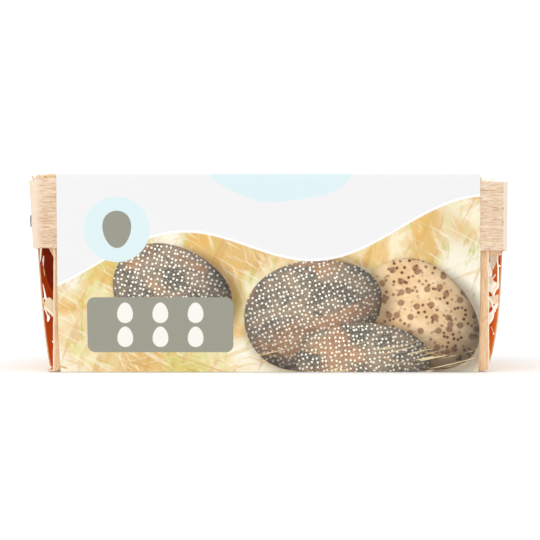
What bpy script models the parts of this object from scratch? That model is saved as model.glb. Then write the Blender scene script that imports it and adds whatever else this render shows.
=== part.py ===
"""Wood veneer punnet packed with wood wool, held in a paperboard sleeve.

Two strips of veneer cross under the base and rise as the four walls. A band of
veneer round the outside and another round the inside hold the walls at the rim,
with wire staples through the ends. The sleeve is a flat-sided tube of board
round the middle. Wood wool fills the punnet and shows at the corners and ends.

X runs along the punnet, Y from its front to its back and Z up from the surface
it rests on. The origin is under the middle of the whole. Sizes are in metres.
"""

import math
import random

import bmesh
import bpy
from mathutils import Vector, noise

# Sheets and the room between them
VENEER = 0.0007
BOARD = 0.0004
GAP = 0.0003
LAYER = VENEER + GAP

# Punnet: rim sizes are of the outer band's outer face at the rim's height
RIM_LENGTH = 0.1900
RIM_DEPTH = 0.1150
RIM_HEIGHT = 0.0768
BASE_LENGTH = 0.1734
BASE_DEPTH = 0.1000
BASE_SHIFT = -0.0001
LONG_STRIP_WIDTH = 0.0980
CROSS_STRIP_LEFT = -0.0854
CROSS_STRIP_RIGHT = 0.0873
FOLD_RADIUS = 0.0010
END_WALL_BOW = {-1: 0.0011, 1: 0.0030}
END_WALL_TOP = {-1: 0.0760, 1: 0.0748}
SIDE_WALL_TOP = 0.0745

# Rim bands: the heights of their lower edges at the left and right ends, and how far the outer
# band's lower edge stands off the end walls
BAND_HEIGHT = 0.0273
BAND_CORNER_RADIUS = 0.0036
OUTER_BAND_LOW = {-1: 0.0494, 1: 0.0485}
LINER_BAND_LOW = {-1: 0.0500, 1: 0.0464}
BAND_FLARE = {-1: 0.0009, 1: 0.0006}
LAP_START = -0.0150
LAP_END = 0.0250
LAP_RISE = 0.0120

# Paperboard sleeve
SLEEVE_LENGTH = 0.1670
SLEEVE_HEIGHT = 0.0787
SLEEVE_BASE_DEPTH = 0.1026
SLEEVE_FOLD_RADIUS = 0.0006

# Wire staples: one pair at each end, as (side, place along Y)
STAPLE_WIRE = 0.0006
STAPLE_CROWN = 0.0043
STAPLE_HEIGHT = 0.0603
STAPLE_ARCH = 0.0001
STAPLE_TUCK = 0.0016
STAPLE_HOLE = 0.0010
STAPLE_REACH = 0.0060
STAPLES = {
    "staple_left_front": (-1, -0.0485),
    "staple_left_back": (-1, 0.0170),
    "staple_right_front": (1, -0.0390),
    "staple_right_back": (1, 0.0390),
}

# One end's lap and staples stand further out, so the whole is moved this far to centre it
CENTRE_SHIFT = 0.00024

# Wood wool
WOOL_SEED = 7
WOOL_MARGIN = 0.0011
WOOL_MIDDLE_TOP = 0.0715
WOOL_END_TOP = 0.0650
WOOL_LUMP = 0.0022
WOOL_CUTS = 13
SHAVING_THICKNESS = 0.0007
SHAVING_WIDTHS = (0.0014, 0.0030)
SHAVING_RADII = (0.0030, 0.0065)
SHAVING_TURNS = (0.45, 1.10)
SHAVING_STEPS = 9
SHAVING_SPREAD = 0.45
SHAVING_PITCH = 0.6
SHAVINGS_PER_CORNER = 9
SHAVINGS_PER_END_CORNER = 7
SHAVING_TRIES = 400
CORNER_HEIGHTS = (0.0140, 0.0260, 0.0380)
CORNER_INSET = 0.0085
CORNER_REACH = (0.0030, 0.0030, 0.0060)
END_INSET = 0.0095
END_PLACE = 0.0260
END_REACH = (0.0020, 0.0220, 0.0030)
SHAVING_RISE = 0.0640
END_SHAVING_TOP = 0.0695

# Wood wool's core: how it rounds off towards its upright corners and its top, and how its lumps lie
CORE_END_FALL = 6
CORE_ROUNDING = (0.035, 5)
CORE_TOP_ROUNDING = (0.045, 9)
CORE_LUMPS = (7, 5, 3)
CORE_LUMP_EDGE = 4

WOOD_PALE = (0.80, 0.62, 0.44)
WOOD_WARM = (0.74, 0.52, 0.33)
WOOL_PALE = (0.84, 0.68, 0.46)
BOARD_WHITE = (0.88, 0.88, 0.86)
STAPLE_GREY = (0.45, 0.45, 0.46)


def clear_scene():
    """Remove the objects that a new file opens with."""
    for thing in list(bpy.data.objects):
        bpy.data.objects.remove(thing, do_unlink=True)


def new_collection(name):
    """Add a collection to the scene."""
    group = bpy.data.collections.new(name)
    bpy.context.scene.collection.children.link(group)
    return group


def new_material(name, colour, roughness, metallic=0.0):
    """Make a Principled material."""
    material = bpy.data.materials.new(name)
    material.use_nodes = True
    shader = material.node_tree.nodes["Principled BSDF"]
    shader.inputs["Base Color"].default_value = (*colour, 1.0)
    shader.inputs["Roughness"].default_value = roughness
    shader.inputs["Metallic"].default_value = metallic
    return material


def new_object(name, mesh, material, group, parent):
    """Put a mesh in the scene as one named piece."""
    piece = bpy.data.objects.new(name, mesh)
    mesh.materials.append(material)
    group.objects.link(piece)
    piece.parent = parent
    return piece


def mix(low, high, share):
    """Value that lies a share of the way from low to high."""
    return low + (high - low) * share


def side_wall(z):
    """Half depth of the long walls' outer face at a height."""
    return mix(BASE_DEPTH / 2, RIM_DEPTH / 2 - LAYER, z / RIM_HEIGHT)


def end_wall(side, z):
    """Distance from the middle to an end wall's outer face at a height, bowed out most low down."""
    share = min(max(z / RIM_HEIGHT, 0.0), 1.0)
    base = BASE_LENGTH / 2 + side * BASE_SHIFT
    rim = RIM_LENGTH / 2 - LAYER
    return mix(base, rim, share) + END_WALL_BOW[side] * math.sin(math.pi * share**0.6)


def sheet_from_path(path, sweep):
    """Open sheet: a path of points, extruded along a function that gives each far point."""
    bm = bmesh.new()
    verts = [bm.verts.new(point) for point in path]
    edges = [bm.edges.new(pair) for pair in zip(verts, verts[1:])]
    swept = bmesh.ops.extrude_edge_only(bm, edges=edges)["geom"]
    near = {tuple(vert.co): place for place, vert in enumerate(verts)}
    for vert in swept:
        if isinstance(vert, bmesh.types.BMVert):
            vert.co = sweep(near[tuple(vert.co)], vert.co.copy())
    bmesh.ops.recalc_face_normals(bm, faces=bm.faces)
    mesh = bpy.data.meshes.new("sheet")
    bm.to_mesh(mesh)
    bm.free()
    return mesh


def face_outward(mesh):
    """Turn an open sheet's faces away from the middle of the punnet."""
    middle = Vector((0.0, 0.0, RIM_HEIGHT / 2))
    outward = sum(face.normal.dot(face.center - middle) * face.area for face in mesh.polygons)
    if outward < 0:
        mesh.flip_normals()


def round_folds(piece, radius, segments):
    """Round the sharp folds of an open sheet."""
    bevel = piece.modifiers.new("folds", "BEVEL")
    bevel.width = radius
    bevel.segments = segments
    bevel.limit_method = "ANGLE"
    bevel.angle_limit = math.radians(35)


def thicken_inward(piece, thickness):
    """Give a sheet its thickness behind its outer face."""
    solidify = piece.modifiers.new("thickness", "SOLIDIFY")
    solidify.thickness = thickness
    solidify.offset = -1.0
    solidify.use_even_offset = True


def cut_holes(piece, cutter):
    """Cut the staples' leg holes through a piece."""
    holes = piece.modifiers.new("staple holes", "BOOLEAN")
    holes.operation = "DIFFERENCE"
    holes.object = cutter


def build_sleeve(material, group, parent):
    """Tube of board round the middle: flat bottom and top, front and back leaning in to the base."""
    low = SLEEVE_BASE_DEPTH / 2
    high = RIM_DEPTH / 2 + GAP + BOARD
    corners = [(-low, 0.0), (low, 0.0), (high, SLEEVE_HEIGHT), (-high, SLEEVE_HEIGHT)]
    bm = bmesh.new()
    verts = [bm.verts.new((-SLEEVE_LENGTH / 2, y, z)) for y, z in corners]
    edges = [bm.edges.new((verts[i - 1], verts[i])) for i in range(len(verts))]
    swept = bmesh.ops.extrude_edge_only(bm, edges=edges)["geom"]
    far = [v for v in swept if isinstance(v, bmesh.types.BMVert)]
    bmesh.ops.translate(bm, verts=far, vec=(SLEEVE_LENGTH, 0.0, 0.0))
    bmesh.ops.recalc_face_normals(bm, faces=bm.faces)
    mesh = bpy.data.meshes.new("sleeve")
    bm.to_mesh(mesh)
    bm.free()
    face_outward(mesh)
    sleeve = new_object("sleeve", mesh, material, group, parent)
    round_folds(sleeve, SLEEVE_FOLD_RADIUS, 3)
    thicken_inward(sleeve, BOARD)
    return sleeve


def build_long_wrap(material, group, parent):
    """Strip that runs down the left end wall, over the cross strip and up the right end wall."""
    bottom = BOARD + GAP + LAYER
    steps = 12

    def wall(side):
        rises = [mix(bottom, END_WALL_TOP[side], step / steps) for step in range(steps + 1)]
        return [(side * end_wall(side, z), z) for z in rises]

    path = list(reversed(wall(-1))) + wall(1)
    near = [Vector((x, -LONG_STRIP_WIDTH / 2, z)) for x, z in path]
    mesh = sheet_from_path(near, lambda place, point: point + Vector((0.0, LONG_STRIP_WIDTH, 0.0)))
    face_outward(mesh)
    wrap = new_object("long_wrap", mesh, material, group, parent)
    round_folds(wrap, FOLD_RADIUS, 4)
    thicken_inward(wrap, VENEER)
    return wrap


def build_cross_wrap(material, group, parent):
    """Strip that runs down the front wall, under the base and up the back wall."""
    bottom = BOARD + GAP
    low = side_wall(bottom)
    high = side_wall(SIDE_WALL_TOP)
    path = [(-high, SIDE_WALL_TOP), (-low, bottom), (low, bottom), (high, SIDE_WALL_TOP)]
    width = CROSS_STRIP_RIGHT - CROSS_STRIP_LEFT
    near = [Vector((CROSS_STRIP_LEFT, y, z)) for y, z in path]
    mesh = sheet_from_path(near, lambda place, point: point + Vector((width, 0.0, 0.0)))
    face_outward(mesh)
    wrap = new_object("cross_wrap", mesh, material, group, parent)
    round_folds(wrap, FOLD_RADIUS, 4)
    thicken_inward(wrap, VENEER)
    return wrap


def band_heights(low, x):
    """Heights of a band's lower and upper edges at a place along the punnet."""
    lower = mix(low[-1], low[1], (x + RIM_LENGTH / 2) / RIM_LENGTH)
    return lower, lower + BAND_HEIGHT


def build_band(name, low, proud, flare, seam, lap_lift, material, group, parent):
    """Strip round the rim whose ends lap at one end wall.

    proud is how far its outer face stands out from the walls' outer faces, and flare how much
    further its lower edge stands off each end wall. seam is the end where it laps, and
    lap_lift how far the lapping end lies outside the end it covers.
    """

    def reach_at(side, level):
        z = band_heights(low, side * RIM_LENGTH / 2)[level]
        return end_wall(side, z) + proud + (0.0 if level else flare[side])

    # The path starts under the lap, goes round by the back and the far end, and ends over its start
    half = RIM_DEPTH / 2
    turns = [
        (seam, LAP_START, 0.0),
        (seam, half, 0.0),
        (-seam, half, 0.0),
        (-seam, -half, 0.0),
        (seam, -half, 0.0),
        (seam, LAP_START - LAP_RISE - GAP, 0.0),
        (seam, LAP_START - GAP, lap_lift),
        (seam, LAP_END, lap_lift),
    ]

    def point_at(turn, level):
        side, y, lift = turn
        x = side * (reach_at(side, level) + lift)
        z = band_heights(low, x)[level]
        if abs(y) == half:
            y = math.copysign(side_wall(z) + proud, y)
        return Vector((x, y, z))

    lower = [point_at(turn, 0) for turn in turns]
    upper = [point_at(turn, 1) for turn in turns]
    mesh = sheet_from_path(lower, lambda place, point: upper[place])
    face_outward(mesh)
    band = new_object(name, mesh, material, group, parent)
    round_folds(band, BAND_CORNER_RADIUS if proud > 0 else BAND_CORNER_RADIUS - 2 * LAYER, 6)
    thicken_inward(band, VENEER)
    return band


def band_face(side, y, z):
    """Place along X of the outer band's outer face, on the lap where there is one."""
    lower, upper = OUTER_BAND_LOW[side], OUTER_BAND_LOW[side] + BAND_HEIGHT
    lower_face = end_wall(side, lower) + LAYER + BAND_FLARE[side]
    upper_face = end_wall(side, upper) + LAYER
    lapped = side < 0 and LAP_START - LAP_RISE < y < LAP_END
    return side * (mix(lower_face, upper_face, (z - lower) / BAND_HEIGHT) + (LAYER if lapped else 0.0))


def build_staple(name, side, y, material, group, parent):
    """Wire staple: crown upright on the outer band, legs through the rim, tips turned in behind it."""
    half = STAPLE_CROWN / 2
    wire = STAPLE_WIRE / 2

    def crown(z):
        return band_face(side, y, z) + side * (GAP + wire)

    def tail(z):
        liner_lap = LAYER if side > 0 else 0.0
        return side * (end_wall(side, z) - 2 * LAYER - wire - GAP - liner_lap)

    low, high, middle = STAPLE_HEIGHT - half, STAPLE_HEIGHT + half, STAPLE_HEIGHT
    route = [
        (tail(low), y, low + STAPLE_TUCK),
        (tail(low), y, low),
        (crown(low), y, low),
        (crown(middle) + side * STAPLE_ARCH, y, middle - half * 0.5),
        (crown(middle) + side * STAPLE_ARCH, y, middle + half * 0.5),
        (crown(high), y, high),
        (tail(high), y, high),
        (tail(high), y, high - STAPLE_TUCK),
    ]
    curve = bpy.data.curves.new(name, "CURVE")
    curve.dimensions = "3D"
    curve.bevel_depth = wire
    curve.bevel_resolution = 2
    curve.use_fill_caps = True
    spline = curve.splines.new("POLY")
    spline.points.add(len(route) - 1)
    for point, place in zip(spline.points, route):
        point.co = (*place, 1.0)
    curve.materials.append(material)
    staple = bpy.data.objects.new(name, curve)
    group.objects.link(staple)
    staple.parent = parent
    return staple


def build_staple_holes(group, parent):
    """Cutter: one square hole for each leg of each staple."""
    bm = bmesh.new()
    for side, y in STAPLES.values():
        for end in (-1, 1):
            z = STAPLE_HEIGHT + end * STAPLE_CROWN / 2
            added = bmesh.ops.create_cube(bm, size=1.0)["verts"]
            bmesh.ops.scale(bm, verts=added, vec=(2 * STAPLE_REACH, STAPLE_HOLE, STAPLE_HOLE))
            bmesh.ops.translate(bm, verts=added, vec=(band_face(side, y, z), y, z))
    mesh = bpy.data.meshes.new("staple_holes")
    bm.to_mesh(mesh)
    bm.free()
    cutter = bpy.data.objects.new("staple_holes", mesh)
    group.objects.link(cutter)
    cutter.parent = parent
    cutter.hide_render = True
    cutter.display_type = "WIRE"
    return cutter


def wool_room(z):
    """Room for the wood wool at a height: its left, right and half depth inside every layer."""
    inset = VENEER + LAYER + WOOL_MARGIN
    return -end_wall(-1, z) + inset, end_wall(1, z) - inset - LAYER, side_wall(z) - inset


def inside_room(point):
    """Whether a point of the wood wool is clear of the walls, the bands and the sleeve."""
    left, right, half_depth = wool_room(point.z)
    floor = BOARD + 2 * LAYER + 2 * GAP
    ceiling = SLEEVE_HEIGHT - BOARD - 2 * GAP
    if abs(point.x) > SLEEVE_LENGTH / 2 - SHAVING_RADII[1]:
        ceiling = END_SHAVING_TOP
    return left < point.x < right and abs(point.y) < half_depth and floor < point.z < ceiling


def build_wool_core(material, group, parent):
    """Lumpy body of the wood wool, rounded at its corners and lower at the two ends."""
    bm = bmesh.new()
    bmesh.ops.create_cube(bm, size=2.0)
    bmesh.ops.subdivide_edges(bm, edges=bm.edges, cuts=WOOL_CUTS, use_grid_fill=True)
    floor = BOARD + 2 * LAYER + 2 * GAP
    for vert in bm.verts:
        u, v, w = vert.co
        top = mix(WOOL_MIDDLE_TOP, WOOL_END_TOP, abs(u) ** CORE_END_FALL)
        z = mix(floor, top, (w + 1) / 2)
        left, right, half_depth = wool_room(z)
        roundness = 1 - CORE_ROUNDING[0] * abs(u * v) ** CORE_ROUNDING[1]
        roundness -= CORE_TOP_ROUNDING[0] * abs(w) ** CORE_TOP_ROUNDING[1]
        place = Vector((u * CORE_LUMPS[0], v * CORE_LUMPS[1], w * CORE_LUMPS[2]))
        lump = WOOL_LUMP * (1 + noise.noise(place)) / 2
        x = mix(left, right, (u * roundness + 1) / 2) - math.copysign(lump, u) * abs(u) ** CORE_LUMP_EDGE
        y = v * roundness * half_depth - math.copysign(lump, v) * abs(v) ** CORE_LUMP_EDGE
        vert.co = (x, y, z - (lump if w > 0.99 else 0.0))
    mesh = bpy.data.meshes.new("nest")
    bm.to_mesh(mesh)
    bm.free()
    return new_object("nest", mesh, material, group, parent)


def shaving_mesh(centre, axis, start, radius, turns, width):
    """Curled shaving: an arc swept along its own axis, then given its thickness."""
    axis = axis.normalized()
    across = (start - axis * start.dot(axis)).normalized()
    up = axis.cross(across)
    path = []
    for step in range(SHAVING_STEPS + 1):
        share = step / SHAVING_STEPS
        angle = 2 * math.pi * turns * share
        reach = radius * (1 + SHAVING_SPREAD * share)
        round_axis = math.cos(angle) * across + math.sin(angle) * up
        path.append(centre + reach * round_axis + axis * width * SHAVING_PITCH * share)
    bm = bmesh.new()
    verts = [bm.verts.new(point) for point in path]
    edges = [bm.edges.new(pair) for pair in zip(verts, verts[1:])]
    swept = bmesh.ops.extrude_edge_only(bm, edges=edges)["geom"]
    far = [v for v in swept if isinstance(v, bmesh.types.BMVert)]
    bmesh.ops.translate(bm, verts=far, vec=axis * width)
    bmesh.ops.recalc_face_normals(bm, faces=bm.faces)
    bmesh.ops.solidify(bm, geom=bm.faces[:], thickness=SHAVING_THICKNESS)
    bmesh.ops.recalc_face_normals(bm, faces=bm.faces)
    mesh = bpy.data.meshes.new("shaving")
    bm.to_mesh(mesh)
    bm.free()
    return mesh


def scatter_shavings(rng, places, count, group):
    """Add shavings at random round a list of places, keeping only those that clear every wall."""
    added = 0
    for _ in range(count * SHAVING_TRIES):
        if added == count:
            return
        low, high = rng.choice(places)
        centre = Vector(rng.uniform(a, b) for a, b in zip(low, high))
        axis = Vector(rng.gauss(0, 1) for _ in range(3))
        start = Vector(rng.gauss(0, 1) for _ in range(3))
        radius = rng.uniform(*SHAVING_RADII)
        turns = rng.uniform(*SHAVING_TURNS)
        width = rng.uniform(*SHAVING_WIDTHS)
        mesh = shaving_mesh(centre, axis, start, radius, turns, width)
        if all(inside_room(vert.co) for vert in mesh.vertices):
            group.objects.link(bpy.data.objects.new("shaving", mesh))
            added += 1


def box_round(centre, reach):
    """Lowest and highest corner of a box round a point."""
    return [c - r for c, r in zip(centre, reach)], [c + r for c, r in zip(centre, reach)]


def wool_places():
    """Boxes that the shavings are centred in: the four upright corners, and the open top by each."""
    corners = []
    tops = []
    for side in (-1, 1):
        for end in (-1, 1):
            for z in CORNER_HEIGHTS:
                x = side * (end_wall(side, z) - CORNER_INSET)
                y = end * (side_wall(z) - CORNER_INSET)
                corners.append(box_round((x, y, z), CORNER_REACH))
            x = side * (RIM_LENGTH / 2 - END_INSET)
            tops.append(box_round((x, end * END_PLACE, SHAVING_RISE), END_REACH))
    return corners, tops


def build_nest(material, group, parent):
    """Wood wool: the core with the shavings that show joined to it."""
    nest = build_wool_core(material, group, parent)
    shavings = new_collection("shavings")
    rng = random.Random(WOOL_SEED)
    corners, tops = wool_places()
    each = len(CORNER_HEIGHTS)
    for first in range(0, len(corners), each):
        scatter_shavings(rng, corners[first : first + each], SHAVINGS_PER_CORNER, shavings)
    for place in tops:
        scatter_shavings(rng, [place], SHAVINGS_PER_END_CORNER, shavings)
    union = nest.modifiers.new("shavings", "BOOLEAN")
    union.operation = "UNION"
    union.operand_type = "COLLECTION"
    union.collection = shavings
    joined = bpy.data.meshes.new_from_object(nest.evaluated_get(bpy.context.evaluated_depsgraph_get()))
    nest.modifiers.clear()
    nest.data = joined
    for shaving in list(shavings.objects):
        bpy.data.objects.remove(shaving, do_unlink=True)
    bpy.data.collections.remove(shavings)
    keep_largest_body(joined)
    return nest


def keep_largest_body(mesh):
    """Drop the scraps and sealed hollows that joining leaves, and keep the one large body."""
    bm = bmesh.new()
    bm.from_mesh(mesh)
    left = set(bm.faces)
    bodies = []
    while left:
        stack = [left.pop()]
        body = set(stack)
        while stack:
            for edge in stack.pop().edges:
                for face in edge.link_faces:
                    if face in left:
                        left.remove(face)
                        body.add(face)
                        stack.append(face)
        bodies.append(body)
    largest = max(bodies, key=len)
    bmesh.ops.delete(bm, geom=[face for face in bm.faces if face not in largest], context="FACES")
    bm.to_mesh(mesh)
    bm.free()


def shade_round(piece):
    """Shade a piece's gentle curves smooth and keep its folds sharp."""
    if piece.type == "MESH":
        piece.data.shade_smooth()
        piece.data.set_sharp_from_angle(angle=math.radians(35))


def main():
    clear_scene()
    parts = new_collection("veneer_punnet")
    cutters = new_collection("cutters")

    centre = bpy.data.objects.new("punnet_centre", None)
    centre.location = (CENTRE_SHIFT, 0.0, 0.0)
    parts.objects.link(centre)

    band_wood = new_material("band_wood", WOOD_PALE, 0.62)
    wall_wood = new_material("wall_wood", WOOD_WARM, 0.62)
    board = new_material("sleeve_board", BOARD_WHITE, 0.45)
    wool = new_material("wood_wool", WOOL_PALE, 0.70)
    wire = new_material("staple_wire", STAPLE_GREY, 0.35, metallic=1.0)

    holes = build_staple_holes(cutters, centre)
    build_sleeve(board, parts, centre)
    long_wrap = build_long_wrap(wall_wood, parts, centre)
    build_cross_wrap(wall_wood, parts, centre)
    outer = build_band("outer_band", OUTER_BAND_LOW, LAYER, BAND_FLARE, -1, LAYER, band_wood, parts, centre)
    flush = {-1: 0.0, 1: 0.0}
    liner = build_band("liner_band", LINER_BAND_LOW, -LAYER, flush, 1, -LAYER, wall_wood, parts, centre)
    for piece in (long_wrap, outer, liner):
        cut_holes(piece, holes)
    for name, (side, y) in STAPLES.items():
        build_staple(name, side, y, wire, parts, centre)
    build_nest(wool, parts, centre)
    for piece in parts.objects:
        shade_round(piece)


main()
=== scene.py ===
"""Veneer egg punnet in its paperboard sleeve, finished for close views.

Lengths are in metres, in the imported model's own frame: X runs along the punnet, Y from
its shown side to its back, and Z up from the surface it stands on.
"""

import math

import bmesh
import bpy
import numpy as np
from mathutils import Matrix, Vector, noise


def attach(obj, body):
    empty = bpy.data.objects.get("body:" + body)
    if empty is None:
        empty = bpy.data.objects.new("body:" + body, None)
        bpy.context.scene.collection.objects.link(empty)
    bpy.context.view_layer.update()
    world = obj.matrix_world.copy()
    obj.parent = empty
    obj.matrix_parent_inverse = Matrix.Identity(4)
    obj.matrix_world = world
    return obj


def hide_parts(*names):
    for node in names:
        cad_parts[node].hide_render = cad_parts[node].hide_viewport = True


bl_info = {
    "name": "Veneer egg punnet",
    "version": (1, 0, 0),
    "blender": (4, 5, 0),
    "location": "3D View > Sidebar > Punnet",
    "description": "Builds a veneer egg punnet with its sleeve, wood wool and studio",
    "category": "Object",
}

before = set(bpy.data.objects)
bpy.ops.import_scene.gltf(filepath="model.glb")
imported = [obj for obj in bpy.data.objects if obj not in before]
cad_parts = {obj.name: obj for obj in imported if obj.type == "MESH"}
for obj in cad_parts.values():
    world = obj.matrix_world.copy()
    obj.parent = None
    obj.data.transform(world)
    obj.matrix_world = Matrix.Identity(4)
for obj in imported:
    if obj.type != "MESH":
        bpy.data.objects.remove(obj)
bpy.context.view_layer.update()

# Layers of the punnet, as its solids have them
VENEER = 0.0007
END_VENEER = 0.0005
GAP = 0.0003
LAYER = VENEER + GAP
RIM_LENGTH = 0.1900
RIM_DEPTH = 0.1150
RIM_HEIGHT = 0.0768
BASE_LENGTH = 0.1734
BASE_DEPTH = 0.1000
BASE_SHIFT = -0.0001
CENTRE_SHIFT = 0.00024
LONG_STRIP_WIDTH = 0.0980
END_WALL_BOW = {-1: 0.0013, 1: 0.0032}
END_WALL_TOP = {-1: 0.0760, 1: 0.0748}
SIDE_WALL_TOP = 0.0745
FOLD_RADIUS = 0.0010

# Strip that makes the long walls: how it spreads towards the base, sags at its left end and
# reaches out at its left foot, with the heights and widths that this fades over
CROSS_STRIP = (-0.0854, 0.0875)
CROSS_STRIP_SPREAD = (-0.0007, 0.0007)
SPREAD_HEIGHT = 0.045
CROSS_STRIP_SAG = 0.0006
SAG_START = 0.0838
SAG_EASE = 0.0008
SAG_HEIGHT = 0.030
CROSS_STRIP_FOOT = 0.0023
CROSS_STRIP_LOW = 0.0008
FOOT_WIDTH = 0.006

# Rim bands
BAND_HEIGHT = 0.0273
BAND_CORNER_RADIUS = 0.0036
OUTER_BAND_LOW = {-1: 0.0494, 1: 0.0483}
LINER_BAND_LOW = {-1: 0.0500, 1: 0.0464}
BAND_FLARE = 0.0005
LAP_START = -0.0150
LAP_END = 0.0250
LAP_RISE = 0.0120

# Sleeve, and how far its cut ends stand off straight lines
SLEEVE_LENGTH = 0.1670
SLEEVE_HEIGHT = 0.0787
SLEEVE_BASE_DEPTH = 0.1026
SLEEVE_FOLD_RADIUS = 0.0006
SLEEVE_CUTS_ALONG = 55
SLEEVE_CUTS_ROUND = 31
SLEEVE_STIFF = 0.004
SLEEVE_BOW = 0.00012
LEFT_END_OUT = 0.00035
LEFT_FOOT_IN = 0.00105
RIGHT_END_OUT = 0.0001
RIGHT_END_BOW = 0.00045

# Wood wool
WOOL_SEED = 11
WOOL_CUTS = 40
END_RIBBON_WIDTH = (0.0009, 0.0026)
CORNER_RIBBON_WIDTH = (0.0008, 0.0022)
THREAD_WIDTH = (0.00025, 0.0005)
THREAD_THICKNESS = 0.0003
TIP_WIDTH = 0.25
TIP_RISE = 7
RIBBON_TWIST = 2.5
GRAIN_STEP = (0.013, 0.0007)
FLAKE_TILT = 0.15
SECTIONS = {3: ((1, -0.6), (0, 1), (-1, -0.6)), 4: ((1, 1), (-1, 1), (-1, -1), (1, -1))}

# Studio
FLOOR_RADIUS = 4.0
FLOOR_HEIGHT = -0.0002
SKY_LIGHT = 0.635
SKY_SEEN = 1.1
SUN_POWER = 1.15
SUN_SPREAD = 60
SUN_WAY = (0.06, 0.42, -0.90)
CAMERA_PLACE = (0.00083, -0.8082, 0.0407)
CAMERA_LENS = 126.6


def tint(red, green, blue):
    """Linear colour for a colour read off a screen, 0 to 255 a channel."""
    shares = (channel / 255 for channel in (red, green, blue))
    return tuple(s / 12.92 if s <= 0.04045 else ((s + 0.055) / 1.055) ** 2.4 for s in shares)


def length_setting(name, description, default, low=0.0):
    """Setting that is a length in metres."""
    return bpy.props.FloatProperty(
        name=name, description=description, default=default, min=low, unit="LENGTH", precision=5
    )


def count_setting(name, description, default):
    """Setting that is a number of pieces."""
    return bpy.props.IntProperty(name=name, description=description, default=default, min=1)


def colour_setting(name, description, *channels):
    """Setting that is a colour, given as a screen shows it."""
    return bpy.props.FloatVectorProperty(
        name=name, description=description, default=tint(*channels), subtype="COLOR", size=3, min=0, max=1
    )


class PunnetSizes(bpy.types.PropertyGroup):
    """Sizes of the finish that a user may change."""

    relief: length_setting("Grain relief", "Height of the veneer's ridges", 0.00006)
    ragged: length_setting("Ragged edge", "How far the veneer's cut edges wander", 0.00018)
    board: length_setting("Board", "Thickness of the sleeve's board", 0.0004, 0.0001)
    ribbon: length_setting("Ribbon", "Thickness of a ribbon of wood wool", 0.00016, 0.00005)
    end_ribbons: count_setting("Ribbons at an end", "Loose ribbons in each end's open top", 140)
    corner_ribbons: count_setting("Ribbons at a corner", "Loose ribbons inside each open corner", 24)
    end_threads: count_setting("Threads at an end", "Fine threads among each end's ribbons", 110)


class PunnetColours(bpy.types.PropertyGroup):
    """Colours of the finish that a user may change."""

    band_pale: colour_setting("Band, pale", "Pale grain of the rim band", 246, 223, 197)
    band_dark: colour_setting("Band, dark", "Dark grain of the rim band", 223, 188, 153)
    wall_pale: colour_setting("Wall, pale", "Pale grain of the walls and liner", 248, 212, 170)
    wall_dark: colour_setting("Wall, dark", "Dark grain of the walls and liner", 229, 181, 136)
    edge_pale: colour_setting("Cut edge", "Edges where the veneer was cut", 248, 232, 208)
    # Painted light: the end walls' inner face is painted deep orange for the studio light shining through
    # it
    inside_backlit: colour_setting("Inside", "Inner face of the end walls", 170, 84, 36)
    glow_left: colour_setting("Glow, left", "Light that comes through the left end wall", 178, 68, 15)
    glow_right: colour_setting("Glow, right", "Light that comes through the right end wall", 214, 112, 48)
    wool_pale: colour_setting("Wood wool, pale", "Palest ribbons", 252, 246, 230)
    wool_warm: colour_setting("Wood wool, warm", "Warmest ribbons", 232, 200, 150)
    board_white: colour_setting("Board", "Unprinted board", 241, 241, 242)
    sky_blue: colour_setting("Pale blue", "Pale blue of the print", 222, 241, 244)
    label_grey: colour_setting("Label grey", "Grey of the print's label", 150, 150, 136)
    straw_pale: colour_setting("Straw, pale", "Lit straw in the print", 252, 240, 204)
    straw_sand: colour_setting("Straw, sand", "Shaded straw in the print", 228, 188, 116)
    shell_dark: colour_setting("Shell, dark", "Dark egg shells in the print", 84, 80, 74)
    shell_tan: colour_setting("Shell, tan", "Tan egg shells in the print", 206, 170, 126)


def mix(low, high, share):
    """Value that lies a share of the way from low to high."""
    return low + (high - low) * share


def side_wall(z):
    """Half depth of the long walls' outer face at a height."""
    return mix(BASE_DEPTH / 2, RIM_DEPTH / 2 - LAYER, z / RIM_HEIGHT)


def end_wall(side, z):
    """Distance from the middle to an end wall's outer face at a height, bowed out most low down."""
    share = min(max(z / RIM_HEIGHT, 0.0), 1.0)
    base = BASE_LENGTH / 2 + side * BASE_SHIFT
    rim = RIM_LENGTH / 2 - LAYER
    return mix(base, rim, share) + END_WALL_BOW[side] * math.sin(math.pi * share**0.6)


def deselect():
    """Leave nothing selected."""
    bpy.ops.object.select_all(action="DESELECT")


def ride_as(piece, slot, *nodes):
    """Put a finished piece on the punnet, with the nodes that it stands for; its slot is not used."""
    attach(piece, "root")
    if nodes:
        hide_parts(*nodes)


class Socket:
    """A socket of a finish's nodes, with the maths that the finishes are written in."""

    def __init__(self, finish, socket):
        self.finish = finish
        self.socket = socket

    def __add__(self, other):
        return self.finish.maths("ADD", self, other)

    __radd__ = __add__

    def __sub__(self, other):
        return self.finish.maths("SUBTRACT", self, other)

    def __rsub__(self, other):
        return self.finish.maths("SUBTRACT", other, self)

    def __mul__(self, other):
        return self.finish.maths("MULTIPLY", self, other)

    __rmul__ = __mul__

    def __truediv__(self, other):
        return self.finish.maths("DIVIDE", self, other)

    def __rtruediv__(self, other):
        return self.finish.maths("DIVIDE", other, self)

    def __gt__(self, other):
        return self.finish.maths("GREATER_THAN", self, other)

    def __lt__(self, other):
        return self.finish.maths("LESS_THAN", self, other)


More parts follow.
